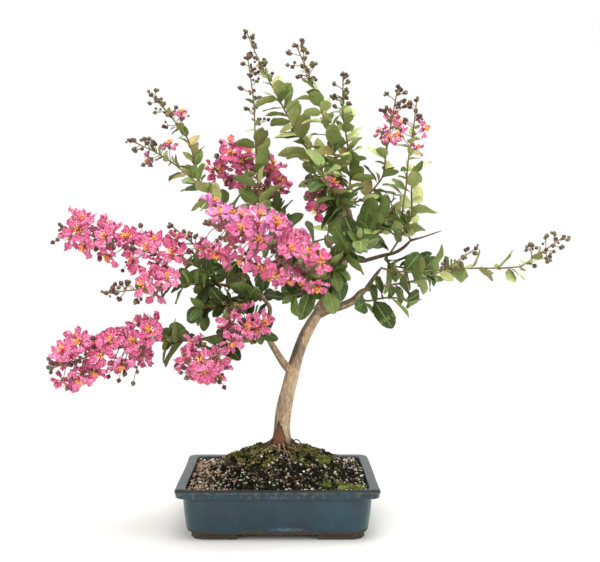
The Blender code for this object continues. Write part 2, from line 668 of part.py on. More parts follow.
def make_pot():
    """Pot turned over its lip from underside to floor, with corner feet and drain holes."""
    under = RIM_TOP - POT_HEIGHT + FOOT_HEIGHT
    floor = under + FLOOR_THICKNESS
    low_inset = BODY_INSET + BODY_TAPER

    def loop(inset, corner, height):
        return rounded_loop(RIM_LENGTH - 2 * inset, RIM_DEPTH - 2 * inset, corner, height)

    rings = []
    for step in range(UNDER_STEPS + 1):
        angle = math.pi / 2 * (1 - step / UNDER_STEPS)
        turned_in = UNDER_CURVE * (1 - math.cos(angle))
        rings.append(loop(low_inset + turned_in, BODY_CORNER - turned_in,
                          under + UNDER_CURVE * (1 - math.sin(angle))))
    rings += [loop(BODY_INSET, BODY_CORNER, RIM_TOP - LIP_HEIGHT),
              loop(0, LIP_CORNER, RIM_TOP - LIP_HEIGHT + LIP_EASE),
              loop(0, LIP_CORNER, RIM_TOP - LIP_EASE),
              loop(LIP_EASE, LIP_CORNER, RIM_TOP),
              loop(LIP_WIDTH, LIP_CORNER, RIM_TOP),
              loop(LIP_WIDTH + WALL_SLOPE, LIP_CORNER, floor)]
    pot = add_object("pot", skin(rings))
    reach_x = RIM_LENGTH / 2 - low_inset - UNDER_CURVE + FOOT_SINK
    reach_y = RIM_DEPTH / 2 - low_inset - UNDER_CURVE + FOOT_SINK
    feet = []
    for side_x in (1, -1):
        for side_y in (1, -1):
            inner_x, inner_y = reach_x - FOOT_WIDTH, reach_y - FOOT_WIDTH
            outline = [(reach_x - FOOT_REACH, reach_y), (reach_x - FOOT_REACH + 3, inner_y),
                       (inner_x, inner_y), (inner_x, reach_y - FOOT_RETURN),
                       (reach_x, reach_y - FOOT_RETURN - 3), (reach_x, inner_y),
                       (reach_x - FOOT_WIDTH / 3, reach_y - FOOT_WIDTH / 3), (inner_x, reach_y)]
            if side_x * side_y < 0:
                outline.reverse()
            feet.append(skin([[(side_x * x, side_y * y, z) for x, y in outline]
                              for z in (under - FOOT_HEIGHT, under + FOOT_SINK)]))
    combine(pot, feet, "UNION")
    angles = np.arange(DRAIN_SIDES) * 2 * math.pi / DRAIN_SIDES
    holes = []
    for side in (-1, 1):
        ring = np.column_stack([side * DRAIN_SPACING / 2 + DRAIN_RADIUS * np.cos(angles),
                                DRAIN_RADIUS * np.sin(angles), np.zeros(DRAIN_SIDES)])
        holes.append(skin([ring + (0, 0, under - 1), ring + (0, 0, floor + 1)]))
    combine(pot, holes, "DIFFERENCE")
    pot.data.materials.clear()
    pot.data.materials.append(material("glaze"))
    return pot


def make_screen(name, side):
    """Square plastic screen with slots, lying over a drain hole."""
    bottom = RIM_TOP - POT_HEIGHT + FOOT_HEIGHT + FLOOR_THICKNESS + CLEAR
    half = SCREEN_SIZE / 2
    middle = side * DRAIN_SPACING / 2

    def plate(low_x, high_x, low_y, high_y, low_z, high_z):
        corners = [(low_x, low_y), (high_x, low_y), (high_x, high_y), (low_x, high_y)]
        return skin([[(middle + x, y, z) for x, y in corners] for z in (low_z, high_z)])

    screen = add_object(name, plate(-half, half, -half, half, bottom, bottom + SCREEN_THICKNESS))
    pitch = SCREEN_SIZE / (SCREEN_SLOTS + 0.6)
    slots = []
    for index in range(SCREEN_SLOTS):
        x = (index - (SCREEN_SLOTS - 1) / 2) * pitch
        for low, high in ((-half + 2.5, -1.2), (1.2, half - 2.5)):
            slots.append(plate(x - pitch * 0.3, x + pitch * 0.3, low, high, bottom - 1, bottom + 2))
    combine(screen, slots, "DIFFERENCE")
    screen.data.materials.clear()
    screen.data.materials.append(material("screen"))
    return screen


def make_soil(wood):
    """Mounded soil that fills the pot, cut where the trunk and roots stand in it."""
    floor = RIM_TOP - POT_HEIGHT + FOOT_HEIGHT + FLOOR_THICKNESS
    bottom = floor + SCREEN_THICKNESS + 2 * CLEAR
    top = RIM_TOP - SOIL_BELOW_RIM

    def wall_loop(height):
        slope = WALL_SLOPE * (RIM_TOP - height) / (RIM_TOP - floor)
        inset = 2 * (LIP_WIDTH + slope + CLEAR)
        corners = rounded_loop(RIM_LENGTH - inset, RIM_DEPTH - inset, LIP_CORNER, height)
        loop = []
        for index, corner in enumerate(corners):
            loop.append(corner)
            if index % (CORNER_STEPS + 1) == CORNER_STEPS:
                following = np.array(corners[(index + 1) % len(corners)])
                for step in range(1, SOIL_SIDE_STEPS + 1):
                    loop.append(tuple(corner + (following - corner) * step / (SOIL_SIDE_STEPS + 1)))
        return np.array(loop)

    wall = wall_loop(top)
    step = 2 * math.pi / len(wall)
    angles = math.pi / 4 + step * (np.arange(len(wall)) - CORNER_STEPS / 2)
    oval = np.column_stack([(RIM_LENGTH / 2 - LIP_WIDTH) * np.cos(angles),
                            (RIM_DEPTH / 2 - LIP_WIDTH) * np.sin(angles)])
    rings = [wall_loop(bottom), wall]
    for level in range(1, SOIL_LOOPS):
        share = level / SOIL_LOOPS
        roundness = min(1.0, OVAL_SOON * share)
        loop = wall.copy()
        loop[:, :2] = (1 - share) * ((1 - roundness) * wall[:, :2] + roundness * oval)
        loop[:, 0] += TRUNK_X * share
        loop[:, 2] = mound(loop[:, 0], loop[:, 1])
        rings.append(loop)
    soil = add_object("soil", skin(rings, tip=(TRUNK_X, 0, float(mound(TRUNK_X, 0)))))
    trunk, radii = wood["trunk"]
    buried = trunk[:, 2] < RIM_TOP + MOUND_HEIGHT + 2 * TRUNK_STEP
    low = np.vstack([trunk[0] - (0, 0, CLEAR), trunk[buried][1:]])
    holes = [tube(low, radii[buried] + SOCKET_CLEAR, TRUNK_SIDES)] + grow_roots(SOCKET_CLEAR)
    combine(soil, holes, "DIFFERENCE")
    soil.data.materials.clear()
    soil.data.materials.append(material("soil"))
    return soil


def main():
    for old in list(bpy.data.objects):
        bpy.data.objects.remove(old)
    wood = grow_wood()
    shells = lay_out(wood)
    shells["trunk"] += grow_roots()
    pieces = [make_pot(), make_screen("drain_screen_left", -1), make_screen("drain_screen_right", 1),
              make_soil(wood)]
    for name, group in shells.items():
        finish = "bark" if name == "trunk" else "leaf"
        if name.startswith("head_"):
            finish = "petal" if SHOOTS[name[5:]][5] else "bud"
        pieces.append(fused(name, group, finish))
    corners = np.array([corner for piece in pieces for corner in piece.bound_box])
    middle = (corners.min(axis=0) + corners.max(axis=0)) / 2
    stand = bpy.data.objects.new("stand", None)
    bpy.context.scene.collection.objects.link(stand)
    stand.location = (-middle[0], -middle[1], -corners[:, 2].min())
    for piece in pieces:
        piece.parent = stand


main()
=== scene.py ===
# A crepe myrtle bonsai in flower, in its glazed pot, dressed for the render. The tree is grown again from
# the tables that the solids use, so each fine leaf, floret and bud stands where its solid does. Tables
# are in millimetres from the middle of the pot, 60 mm under its rim.
import math
import random

import bpy
import numpy as np
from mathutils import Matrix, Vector
from mathutils.bvhtree import BVHTree


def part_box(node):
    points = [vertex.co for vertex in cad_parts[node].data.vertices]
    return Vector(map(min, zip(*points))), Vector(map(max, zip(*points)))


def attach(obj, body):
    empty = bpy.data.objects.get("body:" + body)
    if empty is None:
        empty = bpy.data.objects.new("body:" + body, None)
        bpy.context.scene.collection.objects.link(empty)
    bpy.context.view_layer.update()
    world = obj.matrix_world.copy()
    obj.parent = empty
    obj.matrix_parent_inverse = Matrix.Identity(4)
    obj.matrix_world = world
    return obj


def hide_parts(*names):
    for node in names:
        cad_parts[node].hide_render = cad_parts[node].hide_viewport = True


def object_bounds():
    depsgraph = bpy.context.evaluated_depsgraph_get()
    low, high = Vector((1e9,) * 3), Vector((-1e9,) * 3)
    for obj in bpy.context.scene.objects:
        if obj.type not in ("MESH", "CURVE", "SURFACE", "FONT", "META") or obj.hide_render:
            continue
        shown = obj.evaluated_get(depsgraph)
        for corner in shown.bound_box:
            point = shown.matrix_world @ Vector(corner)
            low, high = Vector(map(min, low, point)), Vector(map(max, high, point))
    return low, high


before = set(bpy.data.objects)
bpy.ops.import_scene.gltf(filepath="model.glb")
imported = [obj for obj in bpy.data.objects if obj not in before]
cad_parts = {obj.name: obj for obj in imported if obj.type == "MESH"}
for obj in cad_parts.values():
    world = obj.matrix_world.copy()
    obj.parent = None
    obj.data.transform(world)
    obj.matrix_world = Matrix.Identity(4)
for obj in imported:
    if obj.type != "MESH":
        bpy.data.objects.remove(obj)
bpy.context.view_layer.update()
print("frame loaded:", len(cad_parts), "nodes")

mm = 0.001
clear = 0.3  # gap between pieces that touch
goldenAngle = math.radians(137.5)
anyWay = (0.31, 0.52, 0.79)  # a direction that nothing runs along

# Pot
rimLength = 254.0
rimDepth = 204.0
rimTop = 60.0
potHeight = 63.5
lipHeight = 9.4
lipWidth = 13.0  # seen from above
lipCorner = 12.0
bodyInset = 8.5  # body top, in from the lip
bodyTaper = 4.0  # body bottom, further in
bodyCorner = 25.0
underCurve = 8.5  # radius where the wall turns under
wallSlope = 9.0  # inner wall, in from top to floor
footHeight = 5.5
footReach = 58.0  # along the long side
footReturn = 46.0  # along the short side
footWidth = 15.0
footSink = 2.0
floorThickness = 5.0
drainRadius = 8.0
drainSpacing = 110.0
potUnder = rimTop - potHeight + footHeight  # height of the body's underside
potFloor = potUnder + floorThickness

# Drain screens and soil
screenThickness = 0.9
soilBelowRim = 4.0
moundHeight = 41.0
moundPower = 1.6  # how square the shoulders of the mound are
ovalSoon = 2.2  # how soon the mound's outline turns from the pot's to an oval
trunkX = 5.0  # the trunk stands just right of the pot's middle
soilHalf = (rimLength / 2 - lipWidth, rimDepth / 2 - lipWidth)  # half its length and depth

# Trunk, with its radius at each point
trunkPoints = [(5, 0, 62), (5, 0, 96), (5, 0, 120), (8, -2, 146), (14, -4, 172), (20, -5, 195),
                (27, -5, 218), (36, -3, 241), (47, 0, 261), (55, 2, 273)]
trunkRadii = [11, 13.2, 10.9, 9.9, 9.3, 8.9, 8.2, 7.7, 7.3, 7]
trunkSides = 8
trunkStep = 16.0
limbSides = 5
limbStep = 24.0

# Limbs and twigs: what each grows from, its radius at foot and end, and its points
limbs = {
    "leader": ("trunk", 5.8, 2.6, [(60, 5, 285), (66, 9, 304), (82, 12, 325), (95, 14, 347), (100, 12, 374),
                                   (97, 6, 399), (91, 2, 416)]),
    "right_limb": ("trunk", 6.2, 4.4, [(68, -5, 276), (85, -13, 281), (100, -19, 288), (107, -22, 298),
                                       (116, -26, 304)]),
    "left_limb": ("trunk", 4.4, 3.2, [(10, -10, 201), (-4, -19, 224), (-12, -27, 239), (-16, -30, 250)]),
    "left_twig": ("left_limb", 2.9, 2.1, [(-12, -34, 265), (-9, -36, 280), (-22, -40, 296),
                                          (-50, -46, 305), (-76, -55, 312)]),
    "low_limb": ("left_limb", 2.8, 2.1, [(-32, -38, 250), (-52, -46, 247), (-78, -54, 245),
                                         (-105, -62, 240)]),
    "back_limb": ("leader", 3.4, 2.1, [(44, 22, 330), (12, 35, 352), (-22, 44, 374), (-58, 50, 400)]),
    "right_branch": ("leader", 3.0, 2.1, [(112, 22, 338), (141, 30, 346), (160, 32, 350),
                                          (172, 30, 358), (180, 28, 367)]),
    "bare_twig": ("right_branch", 1.2, 0.8, [(196, 30, 371), (222, 30, 380)]),
    "back_twig": ("leader", 2.8, 2.1, [(82, 45, 338), (76, 82, 356), (70, 115, 370)]),
    "front_twig": ("leader", 2.8, 2.1, [(80, -28, 318), (76, -58, 328), (76, -88, 338)]),
    "knob_twig": ("right_limb", 2.5, 2.1, [(124, -26, 318), (135, -20, 331)]),
    "knob_stub": ("right_limb", 2.5, 2.1, [(130, -30, 307), (144, -34, 309)]),
}

# Surface roots: heading from the trunk in degrees, length and foot radius
rootTable = [(212, 50, 2.8), (262, 44, 2.6), (318, 54, 3.0), (25, 52, 2.6), (112, 58, 2.8)]
rootTip = 1.1
rootDive = 7.0  # how deep the tip goes under the soil
rootWander = 5.0

# Shoots of the year: what each grows from, its leafy points, leaves and their length; then, if it flowers,
# the points of the flower stalk that follows, its florets, buds and spread
shoots = {
    "low_left": ("low_limb", [(-122, -68, 241), (-142, -75, 243)], 5, 39,
                 [(-205, -92, 232), (-272, -104, 212)], 12, 5, 31),
    "far_left": ("left_twig", [(-92, -58, 328), (-115, -58, 340)], 4, 36,
                 [(-160, -56, 350), (-215, -46, 366), (-275, -40, 384)], 12, 6, 27),
    "mid_left": ("left_twig", [(-96, -72, 312), (-124, -90, 312)], 4, 34,
                 [(-165, -98, 307), (-205, -105, 303)], 3, 6, 18),
    "low_centre": ("low_limb", [(-64, -70, 240), (-76, -90, 236)], 4, 36,
                   [(-84, -104, 222), (-90, -112, 204)], 6, 2, 27),
    "low_front": ("low_limb", [(-26, -56, 254), (-32, -80, 262)], 4, 36,
                  [(-42, -100, 262), (-62, -114, 256)], 6, 2, 24),
    "centre": ("front_twig", [(52, -62, 336), (34, -72, 342)], 4, 39,
               [(4, -86, 354), (-38, -100, 372), (-84, -108, 386)], 14, 3, 40),
    "centre_right": ("front_twig", [(70, -100, 330), (58, -112, 332)], 4, 39,
                     [(36, -122, 336), (0, -132, 340)], 7, 2, 28),
    "top": ("leader", [(66, 14, 448), (42, 20, 485), (16, 25, 530), (-6, 28, 572)], 11, 36,
            [(-22, 30, 602), (-42, 30, 648)], 0, 7, 16),
    "top_middle": ("leader", [(84, -8, 452), (72, -15, 485), (58, -24, 532), (48, -28, 560)], 9, 34,
                   [(38, -30, 586), (25, -30, 616)], 0, 8, 26),
    "top_side": ("leader", [(97, 10, 455), (92, 8, 500), (86, 4, 535)], 8, 34,
                 [(86, 0, 560), (86, -4, 584)], 0, 6, 16),
    "back_bloom": ("back_limb", [(10, 54, 384), (-2, 66, 420)], 5, 36,
                   [(-32, 74, 456), (-84, 80, 486)], 9, 2, 30),
    "left_spire": ("back_limb", [(-24, 34, 404), (-27, 40, 440), (-30, 48, 480), (-32, 56, 512)], 6, 34,
                   [(-34, 60, 560), (-42, 60, 618)], 0, 7, 20),
    "upper_left": ("back_limb", [(-86, 46, 422), (-110, 40, 448), (-116, 35, 485), (-124, 32, 508)], 7, 32,
                   [(-146, 28, 536), (-170, 25, 562)], 1, 8, 20),
    "side_left": ("back_limb", [(-46, 22, 384), (-86, 14, 424), (-140, 18, 470)], 6, 32,
                  [(-165, 18, 486), (-196, 15, 500)], 2, 6, 20),
    "right_top": ("leader", [(118, 14, 424), (142, 20, 452), (146, 20, 488)], 7, 34,
                  [(152, 16, 524), (160, 10, 570)], 4, 6, 20),
    "right_spire": ("right_branch", [(164, 0, 392), (168, -14, 436), (170, -20, 472)], 6, 34,
                    [(176, -25, 510), (180, -25, 546)], 3, 5, 19),
    "right_green": ("right_branch", [(182, 26, 400), (180, 24, 434), (184, 16, 470)], 8, 41),
    "far_right": ("knob_twig", [(150, -24, 326), (190, -20, 326), (245, -10, 330), (300, 0, 330),
                                (324, 3, 332)], 9, 36,
                  [(350, 6, 350), (380, 10, 370)], 0, 8, 20),
    "right_buds": ("knob_stub", [(170, -44, 314), (200, -44, 322)], 4, 36,
                   [(228, -36, 338), (254, -30, 355)], 0, 5, 12),
    "right_low": ("right_limb", [(112, -36, 287), (134, -50, 294), (156, -60, 294), (172, -70, 284)], 6, 43),
    "right_middle": ("right_branch", [(150, 8, 332), (176, 10, 330), (202, 14, 322)], 7, 39),
    "left_low": ("left_twig", [(-34, -62, 292), (-62, -72, 286), (-100, -80, 282)], 6, 36),
    "left_fan": ("left_twig", [(-80, -66, 292), (-96, -76, 272)], 5, 39),
    "left_up": ("left_twig", [(-66, -34, 330), (-90, -26, 346)], 5, 36,
                [(-112, -26, 364), (-136, -28, 384)], 0, 5, 14),
    "inner_left": ("left_twig", [(-20, -14, 300), (-42, 6, 310), (-74, 18, 326)], 7, 39),
    "front_crown": ("front_twig", [(90, -104, 352), (100, -124, 372)], 6, 39),
    "front_left": ("front_twig", [(60, -84, 314), (34, -104, 304), (12, -112, 298)], 7, 39),
    "crown_middle": ("leader", [(112, -20, 372), (134, -44, 388)], 6, 41),
    "right_inner": ("leader", [(124, 0, 386), (152, -20, 402)], 6, 39),
    "front_upper": ("leader", [(80, -30, 418), (60, -62, 438), (52, -84, 464)], 8, 39),
    "heart_bloom": ("leader", [(70, -18, 412)], 3, 36, [(54, -32, 426), (44, -40, 446)], 4, 2, 22),
    "back_crown": ("back_twig", [(78, 136, 394), (84, 152, 434)], 7, 39),
    "back_right": ("back_twig", [(106, 104, 366), (146, 120, 384), (178, 126, 402)], 7, 39),
    "back_low": ("back_twig", [(40, 132, 362), (0, 148, 360), (-36, 152, 366)], 7, 39),
    "back_upper": ("leader", [(84, 50, 404), (62, 86, 436), (50, 104, 474)], 7, 39),
}
shoots = {name: (*entry, [], 0, 0, 0)[:8] for name, entry in shoots.items()}

# Stems, leaves, florets and buds
stemSides = 3
stalkSides = 3
stemFoot = 1.8
stemEnd = 1.5
stalkFoot = 1.5
stalkEnd = 1.15
stalkRoot = 0.42  # thin end of a floret's, bud's or leaf's own stalk
stemStep = 28.0
budsApart = 6.0  # between places on a limb that a shoot may grow from
budPlaces = 12
leafLean = (48, 66)  # from the stem, in degrees
leafLookUp = 0.55
leafLookOut = 0.75
leafLookAstray = 0.55
leafHalfWidth = 0.29  # of its length
leafThickness = 1.2  # at the rib
leafOutline = [(0.36, 0.98), (0.75, 0.84)]  # along the leaf, and share of the half width
leafFold = 0.3  # rise of the edges from the rib
leafDroop = 0.12
floretRadius = 17.5
floretThickness = 1.3
petals = 6
petalSpread = 0.4  # half angle of a petal's outer edge
petalLifts = (0.1, 0.34, 0.2)  # rise of the outer edges, as a share of the radius
petalTwist = 0.1
notchRadius = 3.2
floretReach = (0.5, 1.0)  # share of the head's spread
budRadius = 3.2
budReach = (0.55, 1.0)
budSides = 4
crownMiddle = (60.0, 0.0, 350.0)
fewFlorets = 4  # a head with no more than this many has them near its foot
leafSway = 0.35  # turn off the middle of the stem's side face, in radians
stalkSway = 0.6
tries = 40
keepOff = 0.5  # growth of a shape when it is tested against its neighbours

# More leaves, florets and buds than the solids hold, as a share of theirs
theRest = {
    "florets": (1.4, 0.92),  # and how far along the stalk they stand
    "buds": 0.8,
    "leaves": (1.4, 0.82),  # and their size against the solids' leaves
    "bracts": (9, 21, 0.04),  # number, first size and start of small leaves on a stalk with few florets
    "fullBracts": (3, 21, 0.04),
}
# Heads where the florets differ from that
fuller = {"centre_right": (0.45, 0.4), "back_bloom": (1.8, 0.92), "centre": (1.3, 0.92),
          "mid_left": (0.67, 0.5), "heart_bloom": (0.25, 0.9), "low_centre": (0.8, 0.92),
          "low_front": (0.5, 0.5)}
# Heads where the small leaves do
leafStalks = {"centre_right": (7, 33, 0.25), "centre": (6, 26, 0.0), "back_bloom": (5, 26, 0.0),
              "low_centre": (6, 24, 0.0), "low_front": (6, 24, 0.0), "heart_bloom": (9, 29, 0.0)}
# Shoots where the leaves do
leafier = {"top": (2.8, 1.3), "top_middle": (2.4, 1.2), "top_side": (1.9, 1.15), "left_spire": (2.6, 1.2),
           "right_top": (1.4, 0.85), "right_spire": (1.4, 0.85), "right_green": (1.1, 0.8),
           "front_left": (2.0, 0.85), "front_crown": (1.6, 0.66), "right_middle": (1.7, 0.66),
           "right_inner": (1.8, 0.66), "crown_middle": (1.9, 0.66), "left_low": (3.8, 0.95),
           "low_front": (3.5, 0.85), "low_centre": (2.0, 0.8), "inner_left": (3.2, 1.0),
           "left_fan": (3.2, 0.9), "far_right": (0.9, 0.85), "right_low": (0.7, 0.85),
           "upper_left": (2.2, 1), "side_left": (2.4, 1), "back_bloom": (2.6, 1.1),
           "heart_bloom": (2.6, 1.0), "centre": (2.2, 0.9), "centre_right": (1.8, 0.9),
           "low_left": (1.6, 0.9), "far_left": (1.6, 0.9)}
# Shoots whose added leaves turn their faces to the front
leafShown = {"left_low": 1.3, "inner_left": 0.8, "left_fan": 0.9, "front_left": 1.0, "low_front": 0.8,
             "low_centre": 0.8, "upper_left": 0.9, "side_left": 0.9, "right_inner": 0.7, "right_middle": 0.7,
             "front_crown": 0.7, "crown_middle": 0.7, "right_spire": 0.6, "right_top": 0.6}


# The vector at length one
def unit(vector):
    vector = np.asarray(vector, float)
    return vector / np.linalg.norm(vector)


# The same for each row
def unitRows(rows):
    return rows / np.linalg.norm(rows, axis=-1, keepdims=True)


# A smooth curve through the points, read about every step millimetres: between two points it is the cubic
# whose slope at each runs along the line from the point before to the point after
def curveThrough(points, step):
    points = np.asarray(points, float)
    ends = np.vstack([2 * points[0] - points[1], points, 2 * points[-1] - points[-2]])
    curve = []
    for index in range(len(points) - 1):
        before, here, there, after = ends[index:index + 4]
        count = max(1, round(np.linalg.norm(there - here) / step))
        for share in np.arange(count) / count:
            curve.append(0.5 * (2 * here + (there - before) * share
                                + (2 * before - 5 * here + 4 * there - after) * share ** 2
                                + (3 * here - before - 3 * there + after) * share ** 3))
    curve.append(points[-1])
    return np.array(curve)


# Distance from the curve's start to each of its points
def lengthsAlong(curve):
    return np.concatenate([[0.0], np.cumsum(np.linalg.norm(np.diff(curve, axis=0), axis=1))])


# The curve's points at distances from its start
def readAt(curve, distances):
    return np.column_stack([np.interp(distances, lengthsAlong(curve), column) for column in curve.T])


def pointAt(curve, distance):
    return readAt(curve, [distance])[0]


# The stretch of a curve between two distances from its start
def pieceOf(curve, start, end):
    along = lengthsAlong(curve)
    margin = 1.5
    inner = curve[(along > start + margin) & (along < end - margin)]
    return np.vstack([pointAt(curve, start), inner, pointAt(curve, end)])


# Index of the curve's point nearest to the target
def nearestOn(curve, target):
    return int(np.argmin(np.linalg.norm(curve - np.asarray(target, float), axis=1)))


# Distance along the curve, to the millimetre, of its place nearest to the target
def distanceNearest(curve, target):
    distances = np.arange(0, lengthsAlong(curve)[-1] + 1)
    return float(distances[nearestOn(readAt(curve, distances), target)])


# Tangent, side and normal at each point, carried along without twist
def framesAlong(curve):
    tangents = np.gradient(curve, axis=0)
    tangents /= np.linalg.norm(tangents, axis=1)[:, None]
    start = np.array([0.0, 1.0, 0.0]) if abs(tangents[0][1]) < 0.9 else np.array([1.0, 0.0, 0.0])
    side = unit(np.cross(start, tangents[0]))
    sides = []
    for tangent in tangents:
        side = unit(side - tangent * np.dot(side, tangent))
        sides.append(side)
    return tangents, np.array(sides), np.cross(tangents, np.array(sides))


def ringAngles(around):
    return np.arange(around) * 2 * math.pi / around


# A circle of points round each place of a line; radii holds one number a place, or one a point
def circles(line, radii, around):
    _, sides, normals = framesAlong(line)
    angles = ringAngles(around)[:, None]
    ring = np.cos(angles) * sides[:, None] + np.sin(angles) * normals[:, None]
    return line[:, None] + radii[..., None] * ring


# Radii that run evenly from the foot to the end of a curve
def taper(curve, foot, end):
    along = lengthsAlong(curve)
    return foot + (end - foot) * along / along[-1]


# Closed shell over rings of equal count, each counter-clockwise seen from its front end
def skin(rings, tip=None):
    count, last = len(rings[0]), (len(rings) - 1) * len(rings[0])
    points = np.vstack([*rings] + ([[tip]] if tip is not None else []))
    following = [(index + 1) % count for index in range(count)]
    faces = [tuple(reversed(range(count)))]
    faces += [(low + index, low + following[index], low + count + following[index], low + count + index)
              for low in range(0, last, count) for index in range(count)]
    if tip is None:
        return points, faces + [tuple(range(last, last + count))]
    return points, faces + [(last + index, last + following[index], last + count) for index in range(count)]


# Closed tube along a curve, with one radius or one for each point
def tube(curve, radii, sides):
    return skin(circles(curve, np.broadcast_to(radii, len(curve))[:, None], sides))


# Local points (x forward, y across, z normal) moved to their place
def placed(localPoints, origin, forward, normal):
    forward = unit(forward)
    normal = unit(normal - forward * np.dot(normal, forward))
    return origin + np.asarray(localPoints) @ np.array([forward, np.cross(normal, forward), normal])


# The plain shapes of the solids, grown a little for tests. First a leaf: an oval blade folded along its
# rib, with a sharp edge, on a narrow foot
def leafShell(origin, forward, normal, length, growth=0.0):
    halfWidth = length * leafHalfWidth + growth
    halfThick = leafThickness / 2 + growth
    outline = [(share * length, width * halfWidth) for share, width in leafOutline]
    left = [(x, y, leafFold * y - leafDroop * x * x / length) for x, y in outline]
    right = [(x, -y, z) for x, y, z in reversed(left)]
    rib = -leafDroop * length / 4
    foot = stalkRoot + growth
    ring = [(0, 0, foot), *left, (length + growth, 0, -leafDroop * length), *right, (0, 0, -foot)]
    points = ring + [(length / 2, 0, rib + halfThick), (length / 2, 0, rib - halfThick)]
    under = len(ring) - 1
    top, bottom = under + 1, under + 2
    faces = [(index + 1, index, top) for index in range(under - 1)] + [(0, under - 1, top)]
    faces += [(index, index + 1, bottom) for index in range(1, under)] + [(under, 1, bottom)]
    return placed(points, origin, forward, normal), faces + [(0, 1, under), (under - 1, 0, under)]


# Axes of a floret: turned by the spin about the way it faces
def floretAxes(facing, spin):
    side = unitRows(np.cross(facing, anyWay))
    turned = np.cos(spin) * side + np.sin(spin) * np.cross(facing, side)
    return np.stack([turned, np.cross(facing, turned), facing], axis=-2)


# Six broad petals on narrow claws round a calyx, with a stalk back to its foot
def floretShell(foot, centre, facing, spin, growth=0.0):
    radius = floretRadius + growth
    halfThick = floretThickness / 2 + growth / 2
    points = []
    step = 2 * math.pi / petals
    for petal in range(petals):
        angle, lift = petal * step, petalLifts[petal % len(petalLifts)] * radius
        x, y = notchRadius * math.cos(angle - step / 2), notchRadius * math.sin(angle - step / 2)
        points += [(x, y, halfThick), (x, y, -halfThick)]
        points += [(radius * math.cos(angle + turn), radius * math.sin(angle + turn), lift + twist * radius)
                   for turn, twist in ((-petalSpread, -petalTwist), (petalSpread, petalTwist))]
    uppers = list(range(0, len(points), 4))
    lowers = list(range(1, len(points), 4))
    faces = [tuple(uppers)]
    for petal in range(petals):
        upper, lower = uppers[petal], lowers[petal]
        nextUpper, nextLower = uppers[(petal + 1) % petals], lowers[(petal + 1) % petals]
        first, second = lower + 1, lower + 2
        faces += [(upper, first, second), (upper, second, nextUpper), (lower, second, first),
                  (lower, nextLower, second), (upper, lower, first), (nextUpper, second, nextLower)]
    basis = floretAxes(unit(facing), spin)
    angles = ringAngles(stalkSides)
    circle = np.column_stack([np.cos(angles), np.sin(angles), np.zeros(stalkSides)])
    root = foot - unit(centre - foot) * 0.2 + (stalkRoot + growth / 2) * circle @ basis
    start = len(points)
    for index in range(stalkSides):
        here, there = start + index, start + (index + 1) % stalkSides
        first, second, third = [lowers[(2 * index + step) % petals] for step in range(3)]
        faces += [(second, first, here), (third, second, here), (third, here, there)]
    faces.append((start + 2, start + 1, start))
    return np.vstack([centre + np.array(points) @ basis, root]), faces


# Round bud on a thin stalk: x runs along the stalk
def budShell(foot, facing, length, growth=0.0):
    radius = budRadius + growth
    angles = ringAngles(budSides)
    circle = np.column_stack([np.zeros(budSides), np.cos(angles), np.sin(angles)])
    rings = [np.array([x, 0, 0]) + wide * circle
             for x, wide in ((-0.2, stalkRoot), (length - radius, 0.6), (length, radius * 1.1))]
    points, faces = skin(rings, tip=(length + radius, 0, 0))
    return placed(points, foot, facing, np.array([0.2, 0.3, 0.93])), faces


# Shapes placed so far, each with its owner, to find what a new shape would cross
class Space:
    def __init__(self):
        self.owners, self.trees = [], []
        self.lows, self.highs = np.empty((0, 3)), np.empty((0, 3))

    def add(self, owner, shell):
        points, faces = shell
        self.owners.append(owner)
        self.lows = np.vstack([self.lows, points.min(axis=0)])
        self.highs = np.vstack([self.highs, points.max(axis=0)])
        self.trees.append(BVHTree.FromPolygons(points.tolist(), faces))

    # Owners of the shapes that the shell crosses, with one entry for each
    def crossed(self, shell):
        points, faces = shell
        near = np.all((self.lows <= points.max(axis=0)) & (self.highs >= points.min(axis=0)), axis=1)
        tree = BVHTree.FromPolygons(points.tolist(), faces)
        return [self.owners[index] for index in np.flatnonzero(near) if self.trees[index].overlap(tree)]


# Centre line and radii of the trunk and of each limb
def growWood():
    trunk = curveThrough(trunkPoints, trunkStep)
    source = lengthsAlong(np.array(trunkPoints, float))
    share = lengthsAlong(trunk) / lengthsAlong(trunk)[-1]
    wood = {"trunk": (trunk, np.interp(share * source[-1], source, trunkRadii))}
    for name, (parent, foot, end, points) in limbs.items():
        line = wood[parent][0]
        curve = curveThrough([line[nearestOn(line, points[0])]] + points, limbStep)
        wood[name] = (curve, taper(curve, foot, end))
    return wood


# Height of the soil's surface over a place in the pot: 1 - reach^power of the mound, with ripples
def mound(x, y):
    reach = np.hypot((x - trunkX) / soilHalf[0], y / soilHalf[1])
    ripple = 1.0 * np.sin(x * 0.11 + 1.0) * np.cos(y * 0.13) + 0.7 * np.sin(x * 0.23 - y * 0.19)
    return rimTop - soilBelowRim + moundHeight * (1 - np.minimum(reach, 1) ** moundPower) + ripple


# Centre line of a shoot from its limb, where it clears the wood, and where its leafy part ends.
# Where it would cross an earlier shoot, it starts further down the limb.
def shootLine(name, wood, space):
    parent, points, _, _, stalk = shoots[name][:5]
    line = wood[parent][0]
    nearest = distanceNearest(line, points[0])
    for back in range(budPlaces):
        start = pointAt(line, max(0.0, nearest - back * budsApart))
        curve = curveThrough([start] + points + stalk, stemStep)
        leafyEnd = distanceNearest(curve, points[-1]) - 4
        free = 0.0
        while "trunk" in space.crossed(tube(pieceOf(curve, free, leafyEnd), stemFoot + clear, stemSides)):
            free += 0.3
        whole = pieceOf(curve, free, lengthsAlong(curve)[-1])
        if not space.crossed(tube(whole, stemFoot + 2 * clear, stemSides)):
            break
    return curve, free + clear, leafyEnd


